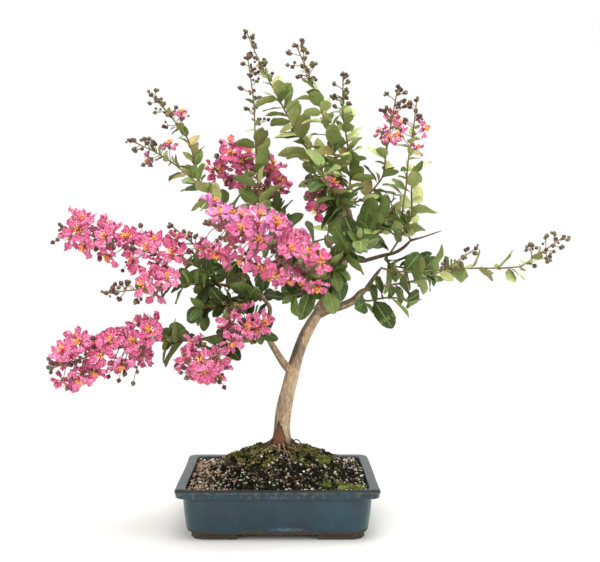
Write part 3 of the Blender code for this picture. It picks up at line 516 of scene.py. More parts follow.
# First drawn shape that crosses nothing, or else the one that crosses fewest of its owner's own
def bestPlace(space, owner, draw, make):
    best, fewest = (None, None), 99
    for attempt in range(tries):
        note, grown = make(draw, attempt / tries)
        crossed = space.crossed(grown)
        if any(other not in (owner, owner + " stem") for other in crossed):
            continue
        own = crossed.count(owner)
        if own < fewest:
            best, fewest = note, own
        if own == 0:
            break
    return best


# A way drawn at random, to be added to another
def drawnWay(draw):
    return np.array([draw.uniform(-1, 1) for _ in range(3)])


# A function that draws a shape at a distance along a stem, and more freely with more effort. It grows from
# the side face of the stem that is nearest to a drawn azimuth; describe draws its other numbers, and is
# given the way out of the stem as a function, which may turn it further.
def maker(curve, distance, azimuth, wander, sway, shell, describe):
    foot = pointAt(curve, distance)
    tangent, side, normal = [axis[nearestOn(curve, foot)] for axis in framesAlong(curve)]
    face = 2 * math.pi / stemSides

    def make(draw, effort):
        drawn = azimuth + draw.uniform(-1, 1) * (wander[0] + wander[1] * effort)
        turn = (math.floor(drawn / face) + 0.5) * face + draw.uniform(-sway, sway)

        def out(further=0.0):
            return math.cos(turn + further) * side + math.sin(turn + further) * normal

        note = describe(draw, effort, foot, tangent, out)
        return (note, shell(*note)), shell(*note, keepOff)
    return make


# A leaf leans out, and its face looks up and outwards; loose ones stray more, and shown ones look forward
def leafMaker(curve, distance, azimuth, length, loose=0.0, shown=0.0):
    def describe(draw, effort, foot, tangent, out):
        lean = math.radians(draw.uniform(*leafLean) + 16 * effort * draw.uniform(-1, 1))
        further = 0.0
        if loose:
            lean += loose * draw.uniform(-0.6, 0.5)
            further = loose * draw.uniform(-1, 1)
        forward = math.cos(lean) * tangent + math.sin(lean) * out(further)
        outward = unit(foot - np.array(crownMiddle))
        face = leafLookUp * np.array([0, 0, 1.0]) + leafLookOut * outward - shown * np.array([0, 1.0, 0])
        face = face + drawnWay(draw) * (leafLookAstray + 0.6 * loose)
        return foot, forward, face, length * draw.uniform(0.82 - 0.2 * loose, 1.08) * (1 - 0.3 * effort)
    return maker(curve, distance, azimuth, (0.3, 2.2), leafSway, leafShell, describe)


# A floret round a flower stalk has a stalk of its own, which leans to the tip
def floretMaker(curve, distance, azimuth, spread):
    def describe(draw, effort, foot, tangent, out):
        reach = spread * draw.uniform(*floretReach)
        centre = foot + out() * reach + tangent * (4 + 0.35 * reach) + np.array([0, 0, 2.0])
        facing = out() + 0.35 * tangent + np.array([0, 0, 0.3])
        return foot, centre, facing + drawnWay(draw) * 0.3, draw.uniform(0, math.pi / 3)
    return maker(curve, distance, azimuth, (0.35, 2.6), stalkSway, floretShell, describe)


# A bud grows near the tip of a flower stalk
def budMaker(curve, distance, azimuth, spread):
    def describe(draw, effort, foot, tangent, out):
        return foot, unit(out() + draw.uniform(0.35, 0.8) * tangent), spread * draw.uniform(*budReach)
    return maker(curve, distance, azimuth, (0.3, 2.6), stalkSway, budShell, describe)


# The wood's lines, the stems, the flower stalks and every leaf, floret and bud: first those of the
# solids, with the draws that they were made with, then more in the gaps that are left
def layOut(wood):
    space = Space()
    for name, (curve, radii) in wood.items():
        space.add("trunk", tube(curve, radii, trunkSides if name == "trunk" else limbSides))
    whole, stems, stalks = {}, {}, {}
    for name in shoots:
        whole[name], free, leafyEnd = shootLine(name, wood, space)
        stems[name] = pieceOf(whole[name], free, leafyEnd)
        space.add("shoot_" + name + " stem",
                  tube(stems[name], taper(stems[name], stemFoot, stemEnd), stemSides))
        if shoots[name][4]:
            stalks[name] = pieceOf(whole[name], leafyEnd + clear, lengthsAlong(whole[name])[-1])
            space.add("head_" + name + " stem",
                      tube(stalks[name], taper(stalks[name], stalkFoot, stalkEnd), stalkSides))
    repeats = {"florets": {}, "buds": {}, "leaves": {}, "bracts": {}}

    # Places count shapes on a shoot or head: shape says how to draw the one at an index
    def scatter(kind, name, seed, count, shape):
        owner = ("shoot_" if kind == "leaves" else "head_") + name
        draw = random.Random(seed)
        placedHere = repeats[kind].setdefault(name, [])
        for index in range(count):
            note, shell = bestPlace(space, owner, draw, shape(index))
            if note is not None:
                placedHere.append(note)
                space.add(owner, shell)

    # Number, name, line, its length and the table's numbers for each stem or stalk
    def each(lines):
        for number, (name, line) in enumerate(lines.items()):
            leaves, size, _, florets, buds, spread = shoots[name][2:]
            yield number, name, line, lengthsAlong(line)[-1], leaves, size, florets, buds, spread

    for number, name, stalk, length, _, _, florets, _, spread in each(stalks):
        length *= 0.88 if florets > fewFlorets else 0.5
        scatter("florets", name, 100 + number, florets, lambda index: floretMaker(
            stalk, length * (0.04 + 0.96 * (index + 0.5) / florets), index * goldenAngle,
            spread * (1 - 0.3 * index / florets)))
    for number, name, stalk, length, _, _, florets, buds, spread in each(stalks):
        first = 0.55 if florets > fewFlorets else 0.12 + 0.09 * florets
        scatter("buds", name, 200 + number, buds, lambda index: budMaker(
            stalk, length * (first + (0.99 - first) * (index + 0.5) / buds), 1 + index * goldenAngle,
            max(10.0, spread * (1.1 - 0.5 * index / buds))))
    for number, name, stem, length, leaves, size, _, _, _ in each(stems):
        scatter("leaves", name, 300 + number, leaves, lambda index: leafMaker(
            stem, length * (0.1 + 0.88 * (index + 0.5) / leaves), number + index * goldenAngle,
            size * (1.12 - 0.3 * index / leaves)))
    for number, name, stalk, length, _, _, florets, buds, spread in each(stalks):
        full = florets > fewFlorets
        if full or name in fuller:
            extra, reach = fuller.get(name, theRest["florets"])
            more = round(florets * extra)
            scatter("florets", name, 400 + number, more, lambda index: floretMaker(
                stalk, length * reach * (index + 0.3) / more, 2 + index * goldenAngle, spread * 0.9))
        more = round(buds * theRest["buds"]) + (7 if full else 0)
        first = 0.2 if full else 0.15 + 0.09 * florets
        scatter("buds", name, 500 + number, more, lambda index: budMaker(
            stalk, length * (first + (0.99 - first) * (index + 0.1) / more), 2 + index * goldenAngle,
            max(8.0, spread * ((1.85 if full else 1.45) - 0.8 * index / more))))
    for number, name, stem, length, leaves, size, _, _, _ in each(stems):
        extra, smaller = leafier.get(name, theRest["leaves"])
        more = round(leaves * extra)
        scatter("leaves", name, 600 + number, more, lambda index: leafMaker(
            stem, length * (0.05 + 0.93 * (index + 0.5) / more), 2 + number + index * goldenAngle,
            size * smaller * (1 - 0.22 * index / more), 1.0, leafShown.get(name, 0.0)))
    for number, name, stalk, length, _, _, florets, _, _ in each(stalks):
        usual = theRest["bracts"] if florets <= fewFlorets else theRest["fullBracts"]
        more, size, start = leafStalks.get(name, usual)
        scatter("bracts", name, 700 + number, more, lambda index: leafMaker(
            stalk, length * (start + 0.6 * index / more), 1 + index * goldenAngle,
            size * (1 - 0.48 * index / more), 1.0))
    return whole, stems, stalks, repeats


# Where the middle of the pot stands in the frame, in millimetres, and the way from the tables to the frame
potLow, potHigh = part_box("pot")
offset = np.array([(potLow.x + potHigh.x) / 2, (potLow.y + potHigh.y) / 2, potLow.z]) / mm
offset[2] -= rimTop - potHeight


def inFrame(points):
    return (np.asarray(points, float) + offset) * mm


# One point in the frame, and the frame's height of a height in the tables, as plain numbers
def located(point):
    return tuple(inFrame(point).tolist())


def heightOf(height):
    return located((0, 0, height))[2]


# A colour picked as 0 to 255 on a screen, in the linear numbers that a shader takes
def screenColour(red, green, blue):
    return tuple(((part / 255 + 0.055) / 1.055) ** 2.4 for part in (red, green, blue)) + (1.0,)


# One output of a node; arithmetic on it adds Math nodes
class Wire:
    def __init__(self, paint, socket):
        self.paint, self.socket = paint, socket

    def work(self, operation, *values):
        return self.paint.node("Math", {"operation": operation}, dict(enumerate(values)))

    def __add__(self, other):
        return self.work("ADD", self, other)

    def __radd__(self, other):
        return self.work("ADD", other, self)

    def __sub__(self, other):
        return self.work("SUBTRACT", self, other)

    def __rsub__(self, other):
        return self.work("SUBTRACT", other, self)

    def __mul__(self, other):
        return self.work("MULTIPLY", self, other)

    def __rmul__(self, other):
        return self.work("MULTIPLY", other, self)

    def sine(self):
        return self.work("SINE", self)

    def size(self):
        return self.work("ABSOLUTE", self)

    # 0 below low, 1 above high and even between them, or the other way round where low is the larger
    def span(self, low, high):
        return self.paint.node("MapRange", {}, {"Value": self, "From Min": low, "From Max": high})


# A material: a Principled shader, the nodes that feed it, and the screen colours that it mixes, by name
class Paint:
    def __init__(self, name, specular, colours, more=None):
        self.material = bpy.data.materials.new(name)
        self.material.use_nodes = True
        self.tree = self.material.node_tree
        self.tree.nodes.clear()
        output = self.tree.nodes.new("ShaderNodeOutputMaterial")
        self.shader = self.tree.nodes.new("ShaderNodeBsdfPrincipled")
        self.tree.links.new(self.shader.outputs[0], output.inputs["Surface"])
        for socket, value in {"Specular IOR Level": specular, **(more or {})}.items():
            self.give(self.shader.inputs[socket], value)
        self.colours = {key: screenColour(*colour) for key, colour in colours.items()}
        self.place = self.node("TexCoord", output="Object")

    def give(self, socket, value):
        if isinstance(value, Wire):
            self.tree.links.new(value.socket, socket)
        else:
            socket.default_value = value

    def node(self, kind, settings=None, inputs=None, output=0):
        made = self.tree.nodes.new("ShaderNode" + kind)
        for key, value in (settings or {}).items():
            setattr(made, key, value)
        for key, value in (inputs or {}).items():
            self.give(made.inputs[key], value)
        return Wire(self, made.outputs[output])

    def parts(self, vector):
        return [self.node("SeparateXYZ", None, {0: vector}, axis) for axis in range(3)]

    def marks(self):
        return self.parts(self.node("Attribute", {"attribute_name": "mark"}, output="Vector"))

    def normal(self):
        return self.parts(self.node("NewGeometry", output="Normal"))

    # Noise from 0 to 1; its lumps are about 1 / scale metres wide, and tall times as high
    def noise(self, scale, detail=3.0, tall=None):
        place = self.place
        if tall:
            place = self.node("Mapping", None, {"Vector": place, "Scale": (1, 1, 1 / tall)})
        inputs = {"Vector": place, "Scale": scale, "Detail": detail}
        return self.node("TexNoise", None, inputs, "Fac")

    # Distance to the nearest of scattered points, as a share of their spacing
    def cells(self, scale):
        return self.node("TexVoronoi", None, {"Vector": self.place, "Scale": scale}, "Distance")

    # 1 at a point given in the tables' millimetres, 0 at the reach and beyond
    def near(self, point, reach):
        inputs = {0: self.place, 1: located(point)}
        away = self.node("VectorMath", {"operation": "DISTANCE"}, inputs, "Value")
        return away.span(reach * mm, 0)

    # The base colour with the others laid over it in turn, each through its mask
    def layers(self, base, *layers):
        for mask, over in layers:
            base, over = [self.colours.get(colour, colour) if isinstance(colour, str) else colour
                          for colour in (base, over)]
            base = self.node("Mix", {"data_type": "RGBA"}, {0: mask, 6: base, 7: over}, 2)
        return base

    def finish(self, colour, roughness, height, depth):
        bump = self.node("Bump", None, {"Height": height, "Distance": depth * mm, "Strength": 1.0})
        for socket, value in (("Base Color", colour), ("Roughness", roughness), ("Normal", bump)):
            self.give(self.shader.inputs[socket], value)
        return self.material


leafColours = {"dark": (30, 42, 4), "green": (94, 116, 50), "light": (200, 207, 134), "blue": (50, 82, 44),
               "rib": (176, 190, 112), "under": (128, 144, 82), "edge": (140, 96, 62),
               "bronze": (146, 92, 58)}


def paintLeaf():
    paint = Paint("leaf green", 0.24, leafColours)
    along, across, chance = paint.marks()
    under = across.span(1.0, 1.1)
    wide = 1 - (across - 1).size()
    rib = wide.span(0.13, 0.03)
    veins = (along * 52 - wide * 13).sine().span(0.72, 1) * wide.span(0.04, 0.16) * wide.span(1, 0.8)
    mottle = paint.noise(110)
    light = chance * 0.95 + mottle.span(0.3, 0.7) * 0.16 - 0.04
    blue, bronze = [chance.work("FRACT", chance * factor) for factor in (7.3, 9.7)]
    colour = paint.layers("dark", (light.span(0, 0.5), "green"), (light.span(0.5, 1.05), "light"),
                          (blue.span(0.55, 1) * 0.6, "blue"), (rib * 0.34 + veins * 0.1, "rib"),
                          (bronze.span(0.68, 0.8) * chance.span(0.45, 0.7) * 0.5, "bronze"),
                          (under * 0.55, "under"),
                          (wide.span(0.86, 1) * chance.span(0.6, 0.9) * 0.5, "edge"))
    relief = (rib + veins * 0.6) * -1 + mottle * 0.6
    return paint.finish(colour, 0.34 + mottle * 0.24 + under * 0.2, relief, 0.35)


petalColours = {"hot": (232, 62, 126), "rose": (250, 156, 196), "deep": (198, 34, 92),
                "lilacAndHighlight": (232, 158, 216), "claw": (170, 30, 74), "dull": (142, 84, 90)}
# Heads whose petals are deeper (1), paler and lilac at the top of the head, partly as a painted highlight
# (2), or dull (3)
headTone = {"back_bloom": 1, "heart_bloom": 1, "right_top": 1, "centre": 2, "upper_left": 3, "side_left": 3}


def paintPetal():
    paint = Paint("petal pink", 0.25, petalColours, {"Sheen Weight": 0.15})
    along, across, chance = paint.marks()
    tone = chance.work("FLOOR", chance)
    chance = chance - tone
    crepe = paint.noise(380)
    veins = (across * 26 + crepe * 4).sine() * along.span(0.2, 0.6)
    # Painted light on the crinkles: "deep" where the crepe relief is low is painted shade, and "rose" on its
    # crests is partly a painted highlight
    pale = chance * 0.5 + along * 0.25 + veins * 0.1 + crepe.span(0.35, 0.65) * 0.6 - 0.07
    # Lilac at the top of the "centre" head: partly the petals' own hue, partly a painted highlight from the
    # light above
    top = paint.parts(paint.place)[2].span(heightOf(362), heightOf(392))
    lilacAndHighlight = tone.span(1, 2) * tone.span(3, 2) * top * paint.noise(28, 1).span(0.3, 0.6)
    colour = paint.layers("hot", (pale, "rose"), (crepe.span(0.44, 0.3) * 0.5, "deep"),
                          ((1 - (tone - 1).size()) * 0.2, "deep"), (lilacAndHighlight * 0.68, "lilacAndHighlight"),
                          (tone.span(2, 3) * 0.55, "dull"), (along.span(0.34, 0.05) * 0.8, "claw"))
    return paint.finish(colour, 0.5 + crepe * 0.25, crepe + veins * 0.2, 1.1)


def paintStalk():
    paint = Paint("young stalk", 0.35, {"green": (118, 126, 66), "red": (126, 70, 58), "dark": (86, 48, 46)})
    chance, streak = paint.marks()[2], paint.noise(160, tall=1 / 0.3)
    colour = paint.layers("green", (streak.span(0.35, 0.65), "red"), (chance.span(0.5, 1) * 0.5, "dark"))
    return paint.finish(colour, 0.5 + streak * 0.2, streak, 0.2)


def paintStamen():
    paint = Paint("stamen gold", 0.3, {"gold": (248, 204, 92), "amber": (224, 142, 56),
                                       "pink": (214, 70, 120)})
    along, _, chance = paint.marks()
    dust = paint.noise(900, 2)
    gold = paint.layers("gold", (chance * 0.6 + dust * 0.4, "amber"))
    return paint.finish(paint.layers("pink", (along.span(0.68, 0.76), gold)), 0.6 + dust * 0.2, dust, 0.15)


def paintBud():
    paint = Paint("bud skin", 0.4, {"brown": (82, 44, 48), "green": (112, 112, 66), "seam": (60, 34, 34),
                                    "tip": (190, 70, 110)})
    along, around, chance = paint.marks()
    ridge = (around * 6 + 1.57).sine()  # 1 along each of the six seams
    skin = paint.noise(300)
    colour = paint.layers("brown", ((chance * 0.9 + skin * 0.5 + along * 0.2).span(0.5, 1.3), "green"),
                          (ridge.span(0.6, 1) * along.span(0.1, 0.5) * 0.45, "seam"),
                          (along.span(0.9, 1) * 0.5, "tip"))
    return paint.finish(colour, 0.42 + skin * 0.25, skin - ridge * 0.25, 0.3)


barkColours = {"tan": (194, 164, 130), "pale": (226, 204, 174), "grey": (138, 120, 98), "rust": (150, 92, 60),
               "flaked": (128, 70, 42), "apex": (98, 74, 40), "dark": (52, 46, 38), "twig": (54, 43, 37)}
# Places on it, in the tables' millimetres: the flaked patch's middle, and the middle and reach of the
# others: painted shade at the fork under the crown, and a rusty patch
barkPlaces = {"flaked": (1.8, -2, 105), "shaded": ((62, 2, 296), 54), "rusty": ((14, -8, 208), 15)}


# Bark: smooth and tan, in soft clouds with grey, with fine streaks along it and dark specks; the marks
# give 0.1 on the trunk, 0.5 on limbs and 0.9 on twigs. At the foot it has flaked off in a triangle, point
# up, with a dark edge, and it is darker at the very foot, next to the soil. Painted shade darkens the
# trunk's left side, the fork under the crown and the undersides of limbs.
def paintBark():
    paint = Paint("smooth bark", 0.3, barkColours)
    age = paint.marks()[2]
    plates, grain, specks = paint.noise(46, 5, 1 / 0.45), paint.noise(520, 4, 5), paint.noise(420, 2)
    worn = plates.span(0.42, 0.58)
    rim = (plates - 0.5).size().span(0.03, 0.006) * paint.noise(60, 2).span(0.5, 0.6)
    ragged = (paint.noise(110, 5) - 0.5) * 1.5
    x, y, z = paint.parts(paint.place)
    side, front, low = located(barkPlaces["flaked"])
    inside = 0.0085 - (z - low) * 0.36 - (x - side).size() + ragged * 0.005 + (grain - 0.5) * 0.004
    facing = y.span(front, front - 0.004)
    flesh = paint.layers("flaked", ((plates.span(0.4, 0.6) + grain.span(0.4, 0.6)) * 0.5, "rust"),
                         (z.span(low + 0.006, low + 0.018) * (0.35 + grain * 0.6), "apex"))
    flaked = inside.span(0, 0.0008) * facing
    edge = inside.span(-0.001, 0) * inside.span(0.0016, 0.0006) * facing * grain.span(0.3, 0.5)
    # Painted shade, laid on in the "dark" colour: the trunk's left side, the fork under the crown and the
    # undersides of limbs
    turned, _, raised = paint.normal()
    left = turned.span(-0.1, -0.7) * age.span(0.45, 0.3) * z.span(low + 0.06, low + 0.11)
    shadeBeneath = raised.span(-0.2, -0.75) * age.span(0.2, 0.3)
    shade = (left + ragged * 0.5).span(0.2, 0.75)
    shade = shade + (paint.near(*barkPlaces["shaded"]) + ragged * 0.3).span(0.2, 0.9)
    shade = shade + (shadeBeneath + ragged * 0.3).span(0.2, 0.8) * 0.7
    rusty = paint.near(*barkPlaces["rusty"]).span(0.1, 0.8) * grain.span(0.35, 0.6)
    stain = (paint.noise(26).span(0.55, 0.7) + paint.noise(200, 2) - 0.8).span(0, 0.5)
    colour = paint.layers("grey", (0.2 + worn * 0.75, "tan"), (grain.span(0.52, 0.66) * 0.6, "pale"),
                          (grain.span(0.48, 0.32) * 0.75, "grey"), (rim * 0.6, "rust"),
                          (specks.span(0.62, 0.7) * 0.7, "dark"), (age.span(0.3, 0.5) * 0.3, "rust"),
                          (age.span(0.6, 0.9) * 0.8, "twig"), (flaked * (0.75 + grain * 0.4), flesh),
                          (edge, "dark"),
                          ((z + ragged * 0.004).span(low + 0.004, low - 0.006) * 0.7, "dark"),
                          (shade.span(0, 1) * 0.68, "dark"), (rusty * 0.5, "rust"), (stain * 0.35, "dark"))
    relief = grain * 0.8 + rim * 0.4 + flaked * -0.7 + plates
    return paint.finish(colour, 0.7 + grain * 0.2 - worn * 0.1, relief, 0.8)


def paintRoot():
    paint = Paint("root skin", 0.3, {"pale": (182, 154, 116), "brown": (104, 78, 56), "dark": (50, 43, 35)})
    chance, grain = paint.marks()[2], paint.noise(300, 4)
    colour = paint.layers("pale", (grain.span(0.35, 0.7), "brown"),
                          (chance.span(0.4, 0.9) * (0.6 + grain * 0.5), "dark"))
    return paint.finish(colour, 0.75 + grain * 0.15, grain, 0.4)


mossColours = {"olive": (88, 86, 28), "shade": (40, 52, 18), "fresh": (70, 112, 40)}
soilColours = {"black": (8, 8, 4), "brown": (38, 37, 24), "clay": (96, 64, 42)}
grainColours = {"clay": (88, 58, 36), "fired": (204, 178, 154), "black": (10, 10, 6), "bark": (62, 61, 42),
                "palest": (104, 92, 70), "grey": (96, 98, 76), "pumice": (252, 250, 236)}


def mossMix(paint, hue):
    return paint.layers("olive", (hue.span(0.15, 0.5), "shade"), (hue.span(0.55, 1), "fresh"))


def paintSoil():
    paint = Paint("potting soil", 0.1, {**soilColours, **mossColours})
    moss, hue, _ = paint.marks()
    crumbs, fine, x = paint.cells(330), paint.noise(260, 5), paint.parts(paint.place)[0]
    clayStart, clayFull = [located((edge, 0, 0))[0] + 0.02 for edge in (-62, -90)]
    left = (x + paint.noise(40, 2) * 0.04).span(clayStart, clayFull)
    colour = paint.layers("black", (fine.span(0.35, 0.7), "brown"),
                          (left * fine.span(0.4, 0.65) * 0.4, "clay"),
                          (moss * fine.span(0.42, 0.64) * 0.45, mossMix(paint, hue)))
    return paint.finish(colour, 0.85 + fine * 0.1, crumbs * -1 + fine, 1.2)


def paintGrain():
    paint = Paint("soil grains", 0.15, grainColours)
    kind, _, chance = paint.marks()
    pores = paint.noise(700)
    clay = paint.layers("clay", (chance * 0.7 + pores * 0.3, "fired"))
    bark = paint.layers("bark", (chance.span(0.8, 0.85), "palest"))
    bark = paint.layers("black", ((chance * 1.2 - 0.3 + pores * 0.2).span(0, 1), bark))
    pumice = paint.layers("grey", ((pores * 0.5 + chance * 0.9).span(0.3, 1.1), "pumice"))
    colour = paint.layers(clay, (kind.span(0.1, 0.4), bark), (kind.span(0.6, 0.9), pumice))
    return paint.finish(colour, 0.8 + pores * 0.15, pores, 0.5)


def paintMoss():
    paint = Paint("moss green", 0.12, {**mossColours, "gap": (18, 22, 6), "tip": (186, 186, 104),
                                       "dry": (112, 86, 46)})
    along, hue, chance = paint.marks()
    tufts, fuzz = paint.noise(150), paint.noise(800, 2)
    # The dark "gap" colour between the tufts is painted shade
    colour = paint.layers(mossMix(paint, hue + paint.noise(60, 2) * 0.3 - 0.15),
                          (tufts.span(0.52, 0.42) * 0.85, "gap"),
                          (along.span(0.2, 1) * (0.1 + chance * 0.4 + tufts.span(0.5, 0.65) * 0.6), "tip"),
                          (chance.span(0.75, 0.95) * 0.6, "dry"))
    return paint.finish(colour, 0.8 + fuzz * 0.1, fuzz, 0.3)


glazeColours = {"teal": (11, 53, 68), "ink": (6, 32, 47), "green": (26, 62, 56), "rim": (38, 44, 45),
                "worn": (86, 74, 56), "clay": (52, 48, 42), "earth": (72, 60, 48), "run": (82, 112, 126),
                "lipShadow": (26, 27, 22), "mist": (104, 112, 106), "speck": (150, 150, 146)}


# Glaze: it pools darker and greener in slow clouds, wears to brown on the lip's edges, and ends in a wavy
# line above the bare clay of the feet. Painted shade darkens the band under the lip and the top of the
# front lip next to the soil; the lip's grey top is its own colour, kept dark partly as painted shade.
def paintGlaze():
    paint = Paint("pot glaze", 0.4, glazeColours, {"Coat Roughness": 0.12})
    x, y, z = paint.parts(paint.place)
    clouds, specks, mottle = paint.noise(24, 4), paint.noise(340), paint.noise(170)
    upward, rim = paint.normal()[2], heightOf(rimTop)
    ends = (x - located((0, 0, 0))[0] + clouds * 0.05).span(-0.05, -0.1)
    # top: the lip's top face, in grey glaze; its darkness is partly painted shade
    top = z.span(rim - 0.003, rim - 0.001) * upward.span(0.5, 0.9)
    lip = z.span(rim - 0.0125, rim - 0.0105)
    # cove: the band under the lip, darkened with "ink" as painted shade
    cove = z.span(rim - 0.016, rim - 0.0105) * z.span(rim - 0.008, rim - 0.0092)
    # nearSide: the top of the front lip, next to the soil, darkened as painted shadow and made rougher
    nearSide = y.span(located((0, -86, 0))[1], located((0, -92, 0))[1]) * top
    worn = z.span(rim - 0.0042, rim - 0.0022) * upward.span(0.92, 0.6) * upward.span(-0.1, 0.25)
    worn = worn * mottle.span(0.4, 0.55)
    low, middle, high = [heightOf(height) for height in (8, 10.5, 14)]
    run = paint.near((11, -92, 11), 26) * z.span(low, middle) * z.span(high, middle)
    edge = z - heightOf(8.2) + (x * 95).sine() * 0.0011 + clouds * 0.004 - 0.002
    bare = edge.span(0.0003, -0.0003)
    colour = paint.layers("ink", (clouds.span(0.35, 0.65), "teal"), (ends * 0.6, "green"),
                          (paint.noise(90, 3, 4).span(0.52, 0.7) * 0.35, "green"),
                          (top * (0.5 + clouds * 0.4), "rim"), (lip * mottle.span(0.5, 0.36) * 0.7, "ink"),
                          (lip * mottle.span(0.54, 0.68) * 0.35, "mist"), (cove * 0.6, "ink"),
                          (nearSide * (0.45 + mottle * 0.5), "lipShadow"), (worn * 0.55, "worn"),
                          (specks.span(0.72, 0.78) * 0.35, "speck"),
                          ((run * specks.span(0.3, 0.6)).span(0, 0.5) * 0.6, "run"),
                          (bare, paint.layers("clay", (specks.span(0.4, 0.6), "earth"))))
    paint.give(paint.shader.inputs["Coat Weight"], (1 - bare) * (1 - nearSide) * 0.22)
    roughness = 0.24 + clouds * 0.16 + bare * 0.5 + worn * 0.3 + nearSide * 0.4
    return paint.finish(colour, roughness, clouds * 0.6 + specks * 0.4 + bare * specks, 0.5)


def paintScreen():
    paint = Paint("drain screen plastic", 0.45, {"gap": (52, 62, 56), "strand": (24, 28, 26),
                                                 "dust": (96, 78, 60)})
    x, y, _ = paint.parts(paint.place)
    strands = (x * 2100).sine().size() * (y * 2100).sine().size()
    dust = paint.noise(220)
    colour = paint.layers("gap", (strands.span(0.1, 0.5), "strand"), (dust.span(0.5, 0.8) * 0.5, "dust"))
    return paint.finish(colour, 0.45 + dust * 0.2, strands * -1, 0.4)


finishesMade = {"leaf": paintLeaf(), "petal": paintPetal(), "stalk": paintStalk(), "stamen": paintStamen(),
                "bud": paintBud(), "bark": paintBark(), "root": paintRoot(), "soil": paintSoil(),
                "grain": paintGrain(), "moss": paintMoss(), "glaze": paintGlaze(), "screen": paintScreen()}
print("materials made:", len(finishesMade))


# Every plant shape below is a ring of points carried from one pole to another

# Index faces of closed surfaces: ring point (station, around) joins its neighbours, the poles close the
# ends
def ringFaces(copies, stations, around):
    here = np.arange(around)
    following = (here + 1) % around
    low = np.arange(stations - 1)[:, None] * around
    quads = np.stack([low + here, low + following, low + around + following, low + around + here], axis=-1)
    foot, tip, last = stations * around, stations * around + 1, (stations - 1) * around
    tris = np.vstack([np.stack([np.full(around, foot), following, here], axis=-1),
                      np.stack([np.full(around, tip), last + here, last + following], axis=-1)])
    shift = (np.arange(copies) * (stations * around + 2))[:, None, None]
    return (quads.reshape(-1, 4) + shift).reshape(-1, 4), (tris + shift).reshape(-1, 3)


# Marks (station, around, random) for rings and poles, which the materials read; even gives one number a
# copy to stand for around
def marksFor(stations, around, chance, even=None):
    marks = np.zeros((len(chance), len(stations), len(around), 3))
    poles = np.zeros((len(chance), 2, 3))
    marks[..., 0] = np.asarray(stations)[:, None]
    marks[..., 1] = np.asarray(around) if even is None else deep(even)
    marks[..., 2] = deep(np.asarray(chance))
    poles[:, 1, 0] = 1
    poles[..., 1] = 0 if even is None else even[:, None]
    poles[..., 2] = np.asarray(chance)[:, None]
    return marks, poles


# Gathers the points, faces, marks and finishes of many surfaces into one piece
class Heap:
    def __init__(self):
        self.points, self.marks, self.finishes, self.count = [], [], [], 0
        self.quads, self.tris = [], []  # with the number of their finish in the last column

    # rings (copy, station, around, xyz), poles (copy, 2, xyz), marks alike; finish is the material's name
    def add(self, rings, poles, finish, marks=None):
        copies, stations, around = rings.shape[:3]
        if marks is None:
            marks = marksFor(np.linspace(0, 1, stations), np.zeros(around), np.full(copies, 0.5))
        if finish not in self.finishes:
            self.finishes.append(finish)
        for kept, faces in zip((self.quads, self.tris), ringFaces(copies, stations, around)):
            kept.append(np.insert(faces + self.count, faces.shape[1], self.finishes.index(finish), axis=1))
        for kept, (onRings, onPoles) in ((self.points, (rings, poles)), (self.marks, marks)):
            kept.append(np.concatenate([onRings.reshape(copies, -1, 3), onPoles], axis=1).reshape(-1, 3))
        self.count += len(self.points[-1])

    def piece(self, name, sharp=50):
        quads, tris = np.concatenate(self.quads), np.concatenate(self.tris)
        corners = np.concatenate([quads[:, :4].ravel(), tris[:, :3].ravel()])
        starts = np.concatenate([np.arange(len(quads)) * 4, len(quads) * 4 + np.arange(len(tris)) * 3])
        mesh = bpy.data.meshes.new(name)
        mesh.vertices.add(self.count)
        mesh.loops.add(len(corners))
        mesh.polygons.add(len(starts))
        mesh.vertices.foreach_set("co", inFrame(np.concatenate(self.points)).astype(np.float32).ravel())
        finishes = np.concatenate([quads[:, 4], tris[:, 3]])
        for part, key, values in ((mesh.loops, "vertex_index", corners),
                                  (mesh.polygons, "loop_start", starts),
                                  (mesh.polygons, "material_index", finishes)):
            part.foreach_set(key, values.astype(np.int32))
        mesh.update(calc_edges=True)
        mesh.validate()
        mesh.polygons.foreach_set("use_smooth", np.ones(len(mesh.polygons), bool))
        mesh.set_sharp_from_angle(angle=math.radians(sharp))
        mark = mesh.attributes.new("mark", "FLOAT_VECTOR", "POINT")
        mark.data.foreach_set("vector", np.concatenate(self.marks).astype(np.float32).ravel())
        for finish in self.finishes:
            mesh.materials.append(finishesMade[finish])
        return linked(name, mesh)


# A new object that holds the data, in the scene
def linked(name, data):
    made = bpy.data.objects.new(name, data)
    bpy.context.scene.collection.objects.link(made)
    return made


# Drawn numbers: the pair's first and up to its second more
def between(draw, pair, *shape):
    return pair[0] + pair[1] * draw.rand(*shape)


# One number a copy, for arithmetic on (copy, station, around)
def deep(values):
    return values[:, None, None]


# The notes of a head or shoot as one array for each of their entries
def columns(notes):
    return [np.array(column, float) for column in zip(*notes)]


# Local points turned into each copy's own axes and moved to its place
def carried(local, origins, axes):
    flat = local.reshape(len(origins), -1, 3)
    return (origins[:, None, :] + np.einsum("cmi,cij->cmj", flat, axes)).reshape(local.shape)


# Axes for each copy: its way up is the third, and the first is square to that and to the other way
def axesFor(up, other=anyWay):
    side = unitRows(np.cross(up, other))
    return np.stack([side, np.cross(up, side), up], axis=1)


# Closed shapes turned round each copy's third axis: widths and heights for (copy, station, around), the
# heights of both poles, and their marks
def addTurned(heap, origins, axes, widths, heights, ends, around, finish, marks):
    angles = ringAngles(around)
    shape = (len(origins), widths.shape[1], around)
    rings = np.stack([np.broadcast_to(part, shape) for part in
                      (widths * np.cos(angles), widths * np.sin(angles), heights)], axis=-1)
    poles = np.zeros((len(origins), 2, 3))
    poles[..., 2] = ends
    heap.add(carried(rings, origins, axes), carried(poles, origins, axes), finish, marks)


